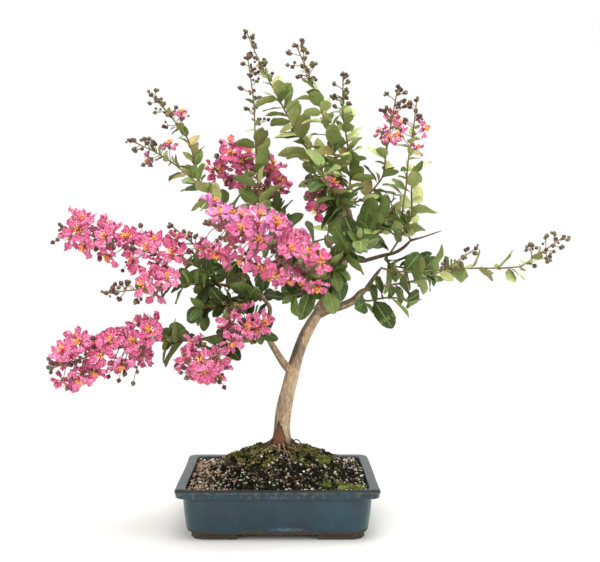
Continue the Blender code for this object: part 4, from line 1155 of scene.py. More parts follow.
leafLook = {
    "stations": (0.025, 0.09, 0.22, 0.4, 0.58, 0.76, 0.9, 0.98),
    "thickness": 0.55,  # mm at the rib
    "ripple": 0.03,  # wave of the edges, as a share of the length
    "rise": 0.56,  # power of the sine that gives the outline: smaller is fuller
    "fold": (0.5, 0.9),  # least share of the solids' fold, and how much more it may be
    "droop": (0.4, 1.7),
    "width": (0.94, 0.12),
    "bend": 0.12,  # how far tips stray to the side
}
bladeAcross = np.array([1, 0.55, 0.08, 0, -0.08, -0.55, -1, -0.55, 0, 0.55])
bladeSide = np.array([0, 0.8, 1, 0.75, 1, 0.8, 0, -0.8, -1, -0.8])
bladeMark = [1, 0.55, 0.08, 0, 0.08, 0.55, 1, 1.45, 2, 1.45]  # 0 on the rib, 1 at the edges, 2 under the rib


# Outline: half width = sine(pi * u^1.05)^rise * widest, narrowed to a stalk near the foot. Height: the
# halves rise from the rib, the tip droops with the square of u, and the edges wave.
def addLeaves(heap, notes, draw, youthAndShade=0.0):
    if not notes:
        return
    count = len(notes)
    foot, forward, normal, length = columns(notes)
    forward, length = unitRows(forward), deep(length)
    normal = unitRows(normal - forward * np.sum(normal * forward, axis=1, keepdims=True))
    u = np.array(leafLook["stations"])[:, None]
    v = bladeAcross
    chance = draw.rand(count)
    fold = deep(leafFold * between(draw, leafLook["fold"], count))
    droop = deep(leafDroop * between(draw, leafLook["droop"], count))
    phase = deep(6.3 * draw.rand(count))
    bend = deep(leafLook["bend"] * draw.randn(count))
    half = leafHalfWidth * deep(between(draw, leafLook["width"], count))
    half = half * length * np.sin(np.pi * u ** 1.05) ** leafLook["rise"] * np.clip(u / 0.2, 0.15, 1) ** 0.8
    x, y = u * length + 0 * v, v * half
    z = fold * (np.sqrt(y * y + 0.8) - 0.9) - droop * x * x / length
    z = z + (leafLook["ripple"] * length * np.abs(v) * np.sin(11 * u + phase + 1.5 * np.sign(v))
             * np.clip(3 * u, 0, 1))
    z = z + bladeSide * leafLook["thickness"] / 2 * np.clip(1.3 - u, 0.3, 1)
    rings = np.stack([x, y + bend * x * x / length, z], axis=-1)
    poles = np.zeros((count, 2, 3))
    poles[:, 1] = np.concatenate([length, bend * length, -droop * length], axis=2)[:, 0]
    axes = np.stack([forward, np.cross(normal, forward), normal], axis=1)
    # The shoot's offset lightens young leaves, and as painted light and shade it also lightens the well-lit
    # ones and darkens those inside the crown
    marks = marksFor(leafLook["stations"], bladeMark, np.clip(chance * 0.9 + youthAndShade - 0.07, 0, 1))
    heap.add(carried(rings, foot, axes), carried(poles, foot, axes), "leaf", marks)


# The line read every step millimetres, with its corners eased by averaging each point with its neighbours
def eased(curve, step, rounds=3):
    length = lengthsAlong(curve)[-1]
    line = readAt(curve, np.linspace(0, length, max(3, round(length / step) + 1)))
    for _ in range(rounds):
        line[1:-1] = 0.25 * line[:-2] + 0.5 * line[1:-1] + 0.25 * line[2:]
    return line


# A tube: a circle of given radius at each point of the line, with swellings; the ends are rounded off
def addTube(heap, line, radii, around, finish, chance=0.5, swell=None):
    angles = ringAngles(around)
    radii = np.broadcast_to(radii, len(line))[:, None]
    if swell is not None:
        radii = radii * (1 + swell(lengthsAlong(line)[:, None], angles[None, :]))
    ends = np.stack([line[0] - unit(line[1] - line[0]) * radii[0].mean() * 0.5,
                     line[-1] + unit(line[-1] - line[-2]) * radii[-1].mean() * 0.5])
    marks = marksFor(np.linspace(0, 1, len(line)), angles, [chance])
    heap.add(circles(line, radii, around)[None], ends[None], finish, marks)


# Many thin stalks at once, each on a parabola from its foot over a middle point to its end
def addStalks(heap, feet, middles, ends, radius, chance, stations=5):
    around = 5
    share = np.linspace(0, 1, stations)[:, None]
    path = ((1 - share) ** 2 * feet[:, None] + 2 * share * (1 - share) * middles[:, None]
            + share ** 2 * ends[:, None])
    side, other, _ = np.moveaxis(axesFor(unitRows(ends - feet)), 1, 0)
    angles = ringAngles(around)[:, None]
    circle = np.cos(angles) * side[:, None] + np.sin(angles) * other[:, None]
    rings = path[:, :, None] + (radius * (1.1 - 0.3 * share))[..., None] * circle[:, None]
    heap.add(rings, np.stack([feet, ends], axis=1), "stalk", marksFor(share[:, 0], angles[:, 0], chance))


floretLook = {
    "stations": (0.03, 0.4, 0.49, 0.6, 0.73, 0.86, 0.96),
    "bladeFrom": 0.39,  # of the petal's length
    "clawHalfWidth": 0.5,  # mm
    "bladeHalfWidth": 4.6,
    "ruffle": 2.1,  # mm, at the outer edge
    "crumple": 0.72,  # mm, drawn for each point of the grid
    "thickness": 0.3,
    "twist": 0.35,  # how far blades turn about their claws, in radians
    "turn": 0.16,  # how far petals stray from their places round the axis, in radians
    "lift": 0.22,  # and from the solids' rise, as a share of the radius
    "cup": 0.9,  # how far the blades' sides rise or fall
    "reach": (0.8, 0.24),  # least share of the solids' radius, and how much more it may be
    "start": 1.4,  # mm from the axis
    "stalk": 0.55,  # mm
    "youngSize": 0.72,  # florets of heads that have hardly opened
    "cupWidths": (0.8, 1.9, 2.7, 3.0, 2.2),  # mm: radius and height of each ring, and heights of the poles
    "cupHeights": (-4.4, -3.4, -1.8, -0.3, 0.5),
    "cupEnds": (-4.8, 0.3),
    "stamens": 17,
    "stamenLean": (0.1, 0.7),
    "stamenLength": (6.0, 4.5),  # mm
    "stamenStations": (0.02, 0.76, 0.86, 0.96),
    "stamenWidths": (0.25, 0.22, 1.2, 1.0),  # mm
}
petalAcross = np.array([1, 0.68, 0.34, 0, -0.34, -0.68, -1, -0.68, -0.34, 0, 0.34, 0.68])
petalSide = np.array([0, 1, 1, 1, 1, 1, 0, -1, -1, -1, -1, -1])
petalColumn = [0, 1, 2, 3, 4, 5, 6, 5, 4, 3, 2, 1]  # both faces of a petal share their crumples


# A petal: a narrow claw that opens into a round crinkled blade. Half width = claw + blade * sine(pi *
# s')^0.5, with s' the share beyond the claw; height = lift * s^1.5 + twist * y + ruffles that grow
# towards the edge.
def addFlorets(heap, notes, draw, size, tone):
    if not notes:
        return
    count = len(notes)
    feet, centres, facing, spin = columns(notes)
    facing = unitRows(facing)
    axes = floretAxes(facing, spin[:, None])
    chance = draw.rand(count)
    number = np.arange(petals)[None, :]
    angle = number * 2 * np.pi / petals + floretLook["turn"] * draw.randn(count, petals)
    lift = np.array(petalLifts)[number % len(petalLifts)] + floretLook["lift"] * draw.randn(count, petals)
    reach = size * floretRadius * between(draw, floretLook["reach"], count, petals)
    phase = 6.3 * draw.rand(count, petals)
    cup = floretLook["cup"] * draw.randn(count, petals)
    twist = floretLook["twist"] * draw.randn(count, petals)
    start = floretLook["start"]
    poles = np.zeros((count, petals, 2, 3))
    for pole, distance in enumerate((start * 0.5, reach)):
        poles[:, :, pole, 0], poles[:, :, pole, 1] = distance * np.cos(angle), distance * np.sin(angle)
    poles[:, :, 1, 2] = lift * reach
    angle, lift, reach, phase, cup, twist = [value[..., None, None] for value in
                                             (angle, lift, reach, phase, cup, twist)]
    s = np.array(floretLook["stations"])[:, None]
    v = petalAcross
    beyond = np.clip((s - floretLook["bladeFrom"]) / (1 - floretLook["bladeFrom"]), 0, 1)
    wide = np.sin(np.pi * beyond ** 0.8) ** 0.5
    half = floretLook["clawHalfWidth"] + size * floretLook["bladeHalfWidth"] * wide
    waves = np.sin(6.5 * v + phase) + 0.6 * np.sin(10 * v - 2 * phase + 6 * s)
    ruffle = floretLook["ruffle"] * beyond ** 0.7 * (waves + 0.5 * np.sin(15 * s + 4 * v + 3 * phase))
    crumple = (floretLook["crumple"] * draw.randn(3, count, petals, len(s), 7))[..., petalColumn]
    crumple = crumple * beyond ** 0.7 * size
    r = start + (reach - start) * s + 1.2 * beyond * np.sin(8 * v + 2 * phase) + 1.3 * crumple[0]
    y = v * half * (1 + 0.18 * np.sin(17 * s + phase) * beyond) + 0.8 * crumple[1]
    z = lift * reach * s ** 1.5 + twist * y + size * ruffle + cup * 1.6 * beyond * v * v + 1.3 * crumple[2]
    z = z + petalSide * floretLook["thickness"] / 2
    rings = np.stack([r * np.cos(angle) - y * np.sin(angle), r * np.sin(angle) + y * np.cos(angle), z],
                     axis=-1)
    petalChance = np.repeat(chance, petals) * 0.58 + 0.4 * draw.rand(count * petals)
    petalChance = (petalChance if size == 1 else 0.5 + 0.5 * petalChance) + tone
    origins, petalAxes = np.repeat(centres, petals, axis=0), np.repeat(axes, petals, axis=0)
    heap.add(carried(rings.reshape(-1, len(s), len(v), 3), origins, petalAxes),
             carried(poles.reshape(-1, 2, 3), origins, petalAxes), "petal",
             marksFor(floretLook["stations"], petalAcross, petalChance))
    addCups(heap, centres, axes, chance)
    addStamens(heap, centres, axes, draw)
    below = centres - 4.0 * facing
    bow = 0.12 * np.cross(below - feet, unitRows(np.cross(facing, anyWay)))
    addStalks(heap, feet, (feet + below) / 2 + bow, below, floretLook["stalk"], chance)


# The calyx: a cup turned round the floret's axis
def addCups(heap, centres, axes, chance):
    widths = np.array(floretLook["cupWidths"])[None, :, None]
    heights = np.array(floretLook["cupHeights"])[:, None]
    marks = marksFor(np.linspace(0, 1, len(heights)), ringAngles(8), chance)
    addTurned(heap, centres, axes, widths, heights, floretLook["cupEnds"], 8, "stalk", marks)


# Stamens: thin spindles that end in a knob, fanned round the axis
def addStamens(heap, centres, axes, draw):
    origins, (turned, across, facing) = [np.repeat(part, floretLook["stamens"], axis=-2)
                                         for part in (centres, np.moveaxis(axes, 1, 0))]
    total = len(origins)
    turn = draw.rand(total, 1) * 2 * np.pi
    lean = between(draw, floretLook["stamenLean"], total, 1)
    way = np.cos(lean) * facing + np.sin(lean) * (np.cos(turn) * turned + np.sin(turn) * across)
    length = between(draw, floretLook["stamenLength"], total)
    shares = np.array(floretLook["stamenStations"])[:, None]
    widths = np.array(floretLook["stamenWidths"])[None, :, None]
    marks = marksFor(shares[:, 0], ringAngles(3), draw.rand(total))
    addTurned(heap, origins, axesFor(way, (0.2, 0.9, 0.3)), widths, shares * deep(length),
              np.column_stack([0 * length, length]), 3, "stamen", marks)


budLook = {
    "radius": 3.0,  # mm
    "length": 1.08,  # of its width
    "sides": 2,  # smaller buds beside each
    "sideSize": 0.72,
    "sideReach": (3.5, 3.5),  # mm from the fork: least, and how much more it may be
    "sizes": (0.84, 0.3),  # least and how much more, as shares of the radius
    "sideSizes": (0.8, 0.4),
    "stations": (0.05, 0.22, 0.45, 0.68, 0.88),
    "around": 12,
    "stalk": 0.6,  # mm, below the fork
    "sideStalk": 0.5,
}


# Radius = sine(pi * t^0.85)^0.75 with six shallow ridges, ending in a small point
def addBuds(heap, notes, draw):
    count = len(notes)
    feet, facing, length = columns(notes)
    facing, length = unitRows(facing), length[:, None]
    fork = feet + facing * length * 0.62
    middle = (feet + fork) / 2 + 0.08 * length * draw.randn(count, 3)
    addStalks(heap, feet, middle, fork, budLook["stalk"], draw.rand(count), 4)
    ends, ways, sizes = [feet + facing * length], [facing], [np.ones(count)]
    for _ in range(budLook["sides"]):
        ways.append(unitRows(facing + 0.75 * draw.randn(count, 3)))
        ends.append(fork + ways[-1] * between(draw, budLook["sideReach"], count, 1))
        sizes.append(budLook["sideSize"] * between(draw, budLook["sideSizes"], count))
    centres, facing, forks = np.vstack(ends), np.vstack(ways), np.vstack([fork] * len(ends))
    radius = budLook["radius"] * np.concatenate(sizes) * between(draw, budLook["sizes"], len(centres))
    chance = draw.rand(len(centres))
    axes = axesFor(facing)
    t = np.array(budLook["stations"])[:, None]
    angles = ringAngles(budLook["around"])
    long = radius * budLook["length"]
    wide = deep(radius) * np.sin(np.pi * t ** 0.85) ** 0.75 * (1 + 0.06 * np.cos(6 * angles))
    addTurned(heap, centres, axes, wide, deep(long) * (-1 + 2 * t), np.column_stack([-long, 1.2 * long]),
              len(angles), "bud", marksFor(t[:, 0], angles, chance))
    below = centres - facing * long[:, None] * 0.85
    middle = (forks + below) / 2 + 0.1 * np.cross(below - forks, axes[:, 0])
    addStalks(heap, forks, middle, below, budLook["sideStalk"], chance, 3)


woodLook = {
    "step": 3.0,  # mm between rings
    "trunkAround": 28,
    "limbAround": 16,
    "collar": 0.55,  # how much a limb swells where it leaves its parent
    "collarReach": 9.0,
    "rootAround": 10,
    "stouter": {"left_limb": 1.15},
    # 0.1 smooth and tan, 0.9 thin and dark; the others are "usual". right_branch is dark partly for its own
    # colour and partly as painted shade, where it stands at the back of the crown
    "age": {"right_limb": 0.3, "leader": 0.5, "left_limb": 0.42, "right_branch": 0.88, "bare_twig": 0.9,
            "knob_twig": 0.85, "knob_stub": 0.6, "back_twig": 0.85},
    "usual": 0.75,
}


# Swelling of the trunk: long shallow flutes that turn slowly, small knots, and a scar over the left limb
def trunkSwell(along, angle):
    flutes = 0.035 * np.sin(3 * angle + along / 34) + 0.02 * np.sin(5 * angle - along / 21 + 1)
    knots = 0.045 * np.sin(along / 11 + 2 * np.sin(angle)) * np.sin(along / 37)
    scar = 0.16 * np.exp(-((along - 158) / 7) ** 2) * np.exp(-((np.cos(angle) - 0.2) ** 2) * 2)
    return flutes + knots + scar * (np.sin(angle - 2.5) > 0)


# Swelling of a limb: a collar that fades with the square of the distance, and nodes
def limbSwell(along, angle):
    collar = woodLook["collar"] * np.exp(-(along / woodLook["collarReach"]) ** 2)
    nodes = 0.06 * np.clip(np.sin(along / 6.5), 0.6, 1) + 0.03 * np.sin(2 * angle + along / 13)
    return collar + nodes - 0.04


def makeWood(wood):
    heap = Heap()
    for name, (curve, radii) in wood.items():
        line = eased(curve, woodLook["step"], 4)
        along, source = lengthsAlong(line), lengthsAlong(curve)
        width = np.interp(along / along[-1], source / source[-1], radii)
        if name == "trunk":
            # the flare where the roots leave it
            width = width * (1 + 0.12 * np.exp(-((line[:, 2] - 98) / 8) ** 2))
            addTube(heap, line, width, woodLook["trunkAround"], "bark", 0.1, trunkSwell)
        else:
            rest = along[-1] - along
            width = width * (1 - 0.42 * np.exp(-(rest / 6) ** 2)) * woodLook["stouter"].get(name, 1)
            age = woodLook["age"].get(name, woodLook["usual"])
            addTube(heap, line, width, woodLook["limbAround"], "bark", age, limbSwell)
    for heading, length, radius in rootTable:
        angle = math.radians(heading)
        distances = np.linspace(2, length, 26)
        wander = rootWander * np.sin(distances / 14 + heading)
        x = trunkX + distances * math.cos(angle) - wander * math.sin(angle)
        y = distances * math.sin(angle) + wander * math.cos(angle)
        line = np.column_stack([x, y, mound(x, y) + 0.4 - rootDive * (distances / length) ** 3])
        addTube(heap, line, taper(line, radius, rootTip), woodLook["rootAround"], "root", 0.3, limbSwell)
    return heap.piece("tree_wood", 70)


potLook = {
    "around": 240,
    "lipRound": 2.4,  # mm, where the lip's edges are worn round
    "innerRound": 1.6,
    "sag": 0.5,  # how far the hand-pressed sides wander, in mm
    "middle": (60, 20),  # inset and corner radius of the innermost rings
    # the cove under the lip: insets, corner radii and heights over the wall's top
    "cove": [(bodyInset - 0.4, bodyCorner, -1.2), (bodyInset - 1.6, 22, -0.1), (4.0, 15, 0.3),
             (1.4, 12.5, 0.7)],
}


# Points evenly spaced round a rounded rectangle, counter-clockwise from above
def roundedPath(length, depth, corner, count):
    quarter = np.linspace(0, np.pi / 2, 24)
    dense = []
    for turn, (sideX, sideY) in enumerate([(1, 1), (-1, 1), (-1, -1), (1, -1)]):
        angles = quarter + turn * np.pi / 2
        dense.append(np.column_stack([sideX * (length / 2 - corner) + corner * np.cos(angles),
                                      sideY * (depth / 2 - corner) + corner * np.sin(angles)]))
    dense = np.vstack([*dense, dense[0][:1]])
    return readAt(dense, np.arange(count) / count * lengthsAlong(dense)[-1])


# Inset, corner radius and height of each ring of the pot, from the middle of its underside, up the wall,
# over the lip and down to the middle of the floor inside
def potProfile():
    under, floor, middle = potUnder, potFloor, potLook["middle"]
    low, wallTop = bodyInset + bodyTaper, rimTop - lipHeight
    edge, inner = potLook["lipRound"], potLook["innerRound"]
    profile = [(*middle, under), (low + underCurve + 4, 12, under)]
    for angle in np.linspace(np.pi / 2, 0, 8):
        turnedIn = underCurve * (1 - math.cos(angle))
        profile.append((low + turnedIn, bodyCorner - turnedIn, under + underCurve * (1 - math.sin(angle))))
    for share in np.linspace(0.1, 0.93, 9):
        profile.append((low + (bodyInset - low) * share - 0.5 * math.sin(math.pi * share), bodyCorner,
                        under + underCurve + (wallTop - under - underCurve) * share))
    profile += [(inset, corner, wallTop + rise) for inset, corner, rise in potLook["cove"]]
    profile += [(edge - edge * math.cos(angle), lipCorner, rimTop - edge + edge * math.sin(angle))
                for angle in np.linspace(-0.9, np.pi / 2, 7)]
    profile += [(lipWidth - inner + inner * math.cos(angle), lipCorner,
                 rimTop - inner + inner * math.sin(angle)) for angle in np.linspace(np.pi / 2, 0.1, 5)]
    profile += [(lipWidth + wallSlope * share, lipCorner, rimTop - inner + (floor - rimTop + inner) * share)
                for share in np.linspace(0.1, 1, 8)]
    return profile + [(*middle, floor)]


# The pot: its profile carried round a rounded rectangle. L-shaped feet are joined on, and drain holes cut.
def makePot():
    under, floor = potUnder, potFloor
    rings = []
    for inset, corner, height in potProfile():
        outline = roundedPath(rimLength - 2 * inset, rimDepth - 2 * inset, max(2.0, corner),
                              potLook["around"])
        if inset < 30 and height > under + 2:
            # the sides lean in and out a little along their length
            outline = outline + potLook["sag"] * np.column_stack([np.sin(outline[:, 1] / 31 + 0.4),
                                                                  np.sin(outline[:, 0] / 43)])
        rings.append(np.column_stack([outline, np.full(len(outline), height)]))
    heap, feet, holes = Heap(), Heap(), Heap()
    heap.add(np.array([rings]), np.array([[[0, 0, under], [0, 0, floor]]]), "glaze")
    pot = heap.piece("pot_glazed", 40)
    outX, outY = [side / 2 - (bodyInset + bodyTaper) - underCurve + footSink
                  for side in (rimLength, rimDepth)]
    inX, inY = outX - footWidth, outY - footWidth
    levels = [(under - footHeight, 0.97), (under - footHeight + 1, 1), (under - 1, 1), (under + 1, 1)]
    for sideX, sideY in ((1, 1), (1, -1), (-1, 1), (-1, -1)):
        corners = np.array([(outX - footReach, outY), (outX - footReach + 3, inY), (inX, inY),
                            (inX, outY - footReturn), (outX, outY - footReturn - 3), (outX, inY),
                            (outX - footWidth / 3, outY - footWidth / 3), (inX, outY)])
        if sideX * sideY < 0:
            corners = corners[::-1]
        outline = np.column_stack([corners * (sideX, sideY), np.zeros(8)])
        middle = np.array([sideX * (outX - 9), sideY * (outY - 9), 0])
        rings = np.array([[middle + (outline - middle) * (size, size, 1) + (0, 0, height)
                           for height, size in levels]])
        feet.add(rings, np.array([[middle + (0, 0, levels[0][0]), middle + (0, 0, levels[-1][0])]]), "glaze")
    angles = ringAngles(32)
    for side in (-1, 1):
        poles = np.array([(side * drainSpacing / 2, 0, height) for height in (under - 1, floor + 1)])
        circle = drainRadius * np.column_stack([np.cos(angles), np.sin(angles), 0 * angles])
        holes.add((poles[:, None] + circle)[None], poles[None], "glaze")
    for tool, operation in ((feet.piece("feet"), "UNION"), (holes.piece("holes"), "DIFFERENCE")):
        change = pot.modifiers.new("join", "BOOLEAN")
        change.object, change.operation, change.solver = tool, operation, "EXACT"
        shape = pot.evaluated_get(bpy.context.evaluated_depsgraph_get())
        pot.data = bpy.data.meshes.new_from_object(shape)
        pot.modifiers.clear()
        bpy.data.objects.remove(tool)
    pot.data.set_sharp_from_angle(angle=math.radians(35))
    return pot


soilLook = {
    "rings": 84,
    "around": 220,
    "lumps": 1.7,  # mm
    "grains": 4700,
    "grainSizes": ((1.1, 2.5), (0.8, 1.8), (0.8, 2.3)),  # mm: clay, pumice and bark
    "clayShare": (0.07, 0.42),  # everywhere, and as much more at the left
    "paleShare": (0.13, 0.32),  # everywhere, and as much more near the pot's edges
    "grainsOffMoss": 0.62,
    "mossSpikes": 9400,
    "spikeHeight": (1.8, 2.8),  # mm: least, and how much more it may be
    "spikeWidth": (0.8, 0.5),
    "strands": 90,
    "strandLength": (8, 26),  # mm
    "strandRadius": (0.2, 0.3),  # mm: least, and how much more it may be
    "strandEnd": 0.15,
}
# Moss: middle, half widths, hue (0 olive yellow, 0.5 dark olive, 1 fresh green) and share of the spikes
mossBeds = [(-34, -16, 34, 30, 0.15, 0.26), (-56, 10, 22, 20, 0.1, 0.08), (-14, -44, 18, 14, 0.3, 0.06),
            (38, -20, 30, 28, 0.5, 0.24), (66, -26, 16, 20, 0.4, 0.07), (92, -68, 22, 16, 1.0, 0.18),
            (66, -70, 12, 10, 0.8, 0.035), (0, 34, 50, 22, 0.45, 0.1)]


# Smooth noise between -1 and 1: a table of drawn heights, blended between its cells by 3t^2 - 2t^3
def rumple(x, y, size, seed):
    table = np.random.RandomState(seed).uniform(-1, 1, (64, 64))
    x, y = np.asarray(x) / size, np.asarray(y) / size
    column, row = np.floor(x).astype(int), np.floor(y).astype(int)
    s, t = [share * share * (3 - 2 * share) for share in (x - column, y - row)]
    low, high = [table[line % 64, column % 64] * (1 - s) + table[line % 64, (column + 1) % 64] * s
                 for line in (row, row + 1)]
    return low * (1 - t) + high * t


# How much of a place is moss: the nearest bed's oval, with a ragged edge
def mossShare(x, y):
    share, hue = np.zeros(np.shape(x)), np.zeros(np.shape(x))
    for middleX, middleY, halfX, halfY, bedHue, _ in mossBeds:
        reach = np.hypot((x - middleX) / halfX, (y - middleY) / halfY) + 0.35 * rumple(x, y, 9, 8)
        here = np.clip((1.05 - reach) * 4, 0, 1)
        hue = np.where(here > share, bedHue, hue)
        share = np.maximum(share, here)
    return share, hue


# Height of the finished surface: the mound with lumps, coarse and fine, that fade out at the pot's wall
def ground(x, y):
    wall = np.clip(1.6 - np.maximum(np.abs(x) / soilHalf[0], np.abs(y) / soilHalf[1]) * 1.6, 0, 0.35) / 0.35
    lumps = rumple(x, y, 14, 3) + 0.6 * rumple(x, y, 6, 4)
    cushions = mossShare(x, y)[0] * (0.6 + 1.6 * rumple(x, y, 5, 6))
    return mound(x, y) + wall * (soilLook["lumps"] * lumps + cushions)


# Soil: the pot's inner outline shrinks into an oval round the trunk, ring by ring, at the ground's height
def makeSoil():
    bottom, top = potFloor + screenThickness + 2 * clear, rimTop - soilBelowRim
    around = soilLook["around"]

    def wallRing(height):
        slope = wallSlope * (rimTop - height) / (rimTop - potFloor)
        inset = 2 * (lipWidth + slope + clear)
        outline = roundedPath(rimLength - inset, rimDepth - inset, lipCorner, around)
        return np.column_stack([outline, np.full(around, height)])

    lower = np.array([wallRing(height) for height in (bottom, (bottom + top) / 2, top)])
    wall = lower[-1][:, :2]
    oval = unitRows(wall / (rimLength, rimDepth)) * soilHalf
    share = deep(np.arange(1, soilLook["rings"]) / soilLook["rings"])
    roundness = np.minimum(1.0, ovalSoon * share)
    flat = (1 - share) * ((1 - roundness) * wall + roundness * oval) + share * (trunkX, 0)
    rings = np.concatenate([lower, np.dstack([flat, ground(flat[..., 0], flat[..., 1])])])
    moss, hue = mossShare(rings[..., 0], rings[..., 1])
    poles = np.array([[[trunkX, 0, bottom], [trunkX, 0, float(ground(trunkX, 0))]]])
    heap = Heap()
    heap.add(rings[None], poles, "soil", (np.stack([moss, hue, 0 * hue], axis=-1)[None], np.zeros((1, 2, 3))))
    return heap.piece("soil_ground", 60)


# Places inside the pot, even over its area, that are clear of the trunk
def placesOnSoil(count, draw):
    x, y = [draw.uniform(-1, 1, count * 2) * (half - 3) for half in soilHalf]
    kept = np.hypot(x - trunkX, y) > 12
    return x[kept][:count], y[kept][:count]


# Grains: small uneven lumps, round fired clay at the left, dark bark and pale pumice elsewhere
def makeGrains():
    draw = np.random.RandomState(21)
    x, y = placesOnSoil(soilLook["grains"], draw)
    kept = draw.rand(len(x)) > soilLook["grainsOffMoss"] * mossShare(x, y)[0]
    x, y = x[kept], y[kept]
    count = len(x)
    leftZone = np.clip((-64 - x + 22 * rumple(x, y, 20, 5)) / 22, 0, 1)
    (anyClay, moreClay), (anyPale, morePale) = soilLook["clayShare"], soilLook["paleShare"]
    clay = draw.rand(count) < anyClay + moreClay * leftZone
    edges = np.clip((np.hypot((x - trunkX) / 90, (y + 15) / 70) - 0.75) * 2.4, 0, 1)
    pale = (draw.rand(count) < anyPale + morePale * edges) & ~clay
    claySize, paleSize, barkSize = [draw.uniform(*sizes, count) for sizes in soilLook["grainSizes"]]
    size = np.where(clay, claySize, np.where(pale, paleSize, barkSize))
    stretch = draw.uniform(0.75, 1.2, (count, 3))
    stretch[:, 0] *= np.where(clay, 1.0, draw.uniform(1.1, 1.9, count))
    t = np.array([0.14, 0.5, 0.86])[:, None]
    wide = deep(size) * np.sin(np.pi * t) * (1 + 0.22 * draw.randn(count, 3, 6))
    up = unitRows(np.column_stack([0.5 * draw.randn(count, 2), np.ones(count)]))
    axes = axesFor(up, draw.randn(count, 3)) * stretch[:, :, None]
    kind = np.where(clay, 0.0, np.where(pale, 1.0, 0.5))
    marks = np.column_stack([kind, leftZone, draw.rand(count)])
    heap = Heap()
    middles = np.column_stack([x, y, ground(x, y) + 0.35 * size])
    addTurned(heap, middles, axes, wide, -0.8 * deep(size) * np.cos(np.pi * t),
              np.column_stack([-0.8 * size, 0.8 * size]), 6, "grain",
              (np.tile(marks[:, None, None], (1, 3, 6, 1)), np.tile(marks[:, None], (1, 2, 1))))
    return heap.piece("soil_grains", 42)


# Moss: short spikes that stand on cushions, each a three-sided spindle, denser in the middle of its bed
def makeMoss():
    draw = np.random.RandomState(33)
    spots = []
    for middleX, middleY, halfX, halfY, hue, share in mossBeds:
        number = int(share * soilLook["mossSpikes"])
        turn, reach = draw.rand(number) * 2 * np.pi, draw.rand(number) ** 0.55
        spots.append(np.column_stack([middleX + halfX * reach * np.cos(turn),
                                      middleY + halfY * reach * np.sin(turn), np.full(number, hue), reach]))
    x, y, hue, reach = np.vstack(spots).T
    inside = (np.abs(x) < soilHalf[0] - 2) & (np.abs(y) < soilHalf[1] - 2) & (np.hypot(x - trunkX, y) > 12)
    x, y, hue, reach = np.array([x, y, hue, reach])[:, inside & (rumple(x, y, 5, 12) > -0.12)]
    count = len(x)
    height = between(draw, soilLook["spikeHeight"], count) * (1.15 - 0.5 * reach)
    up = unitRows(np.column_stack([0.45 * draw.randn(count, 2), np.ones(count)]))
    axes = axesFor(up, draw.randn(count, 3))
    shares = np.array([0.05, 0.4, 0.75])[:, None]
    widths = np.array([0.45, 0.8, 0.5])[:, None] * deep(between(draw, soilLook["spikeWidth"], count))
    marks = marksFor(shares[:, 0], np.zeros(3), draw.rand(count), hue)
    heap = Heap()
    addTurned(heap, np.column_stack([x, y, ground(x, y) - 0.3]), axes, widths, shares * deep(height),
              np.column_stack([0 * height, height]), 3, "moss", marks)
    return heap.piece("moss_beds", 180)


# Pale roots and dark curls near the trunk: points (x, y, lift off the ground), radius and darkness
shownRoots = [([(-30, -22, 0), (-16, -18, 1.5), (-4, -16, 2.5), (6, -24, 2), (18, -44, 0)], 1.0, 0.1),
              ([(5, -11, 7), (8, -17, 3.5), (10, -26, 1.5), (20, -34, 0)], 1.2, 0.15),
              ([(-2, -10, 5), (-10, -15, 2), (-22, -28, 1.5), (-30, -42, 0)], 0.9, 0.3),
              ([(15, -4, 6), (21, -6, 9.5), (27, -4, 8.5), (31, 0, 4), (27, 4, 0)], 0.9, 1.0),
              ([(14, -9, 3), (24, -16, 2.5), (38, -20, 2), (50, -30, 0)], 0.9, 0.6),
              ([(-6, -5, 9), (-11, -8, 4.5), (-18, -12, 1), (-24, -14, -1)], 1.7, 0.95),
              ([(-3, -10, 6), (-6, -14, 3.5), (-11, -21, 0.5), (-13, -25, -1)], 1.4, 0.8),
              ([(1, -12, 5), (2, -16, 2.5), (1, -23, 0.5), (3, -29, -1)], 1.5, 0.2),
              ([(9, -12, 6), (12, -16, 3), (14, -24, 0.5), (13, -28, -1)], 1.2, 0.9),
              ([(16, -6, 8), (20, -9, 4), (27, -15, 0.5), (32, -18, -1)], 1.6, 0.95),
              ([(18, 1, 7), (24, 0, 3), (33, -3, 0)], 1.5, 0.9),
              ([(-7, 3, 7), (-14, 2, 3), (-22, 4, 0)], 1.5, 0.9)]


# Fine roots and stalks that lie on the soil: thin tubes that follow the ground and wander
def makeStrands():
    draw = np.random.RandomState(44)
    heap = Heap()
    startsX, startsY = placesOnSoil(soilLook["strands"], draw)
    count = len(startsX)
    for startX, startY, turn, reach, chance in zip(startsX, startsY, draw.rand(count) * 6.3,
                                                   draw.uniform(*soilLook["strandLength"], count),
                                                   draw.rand(count)):
        along = np.linspace(0, reach, 9)
        wander = 2.2 * np.sin(along / 5 + 9 * chance)
        x = np.clip(startX + along * math.cos(turn) - wander * math.sin(turn), -110, 110)
        y = np.clip(startY + along * math.sin(turn) + wander * math.cos(turn), -85, 85)
        line = np.column_stack([x, y, ground(x, y) + 1.2 + 1.3 * np.sin(along / reach * np.pi)])
        if np.hypot(x - trunkX, y).min() > 13:
            thin, more = soilLook["strandRadius"]
            addTube(heap, line, taper(line, thin + more * chance, soilLook["strandEnd"]), 5, "root", chance)
    for points, radius, chance in shownRoots:
        line = eased(curveThrough(points, 3.0), 2.0, 2)
        line[:, 2] += ground(line[:, 0], line[:, 1])
        addTube(heap, line, taper(line, radius, radius * 0.6), 6, "root", chance)
    return heap.piece("soil_strands", 180)


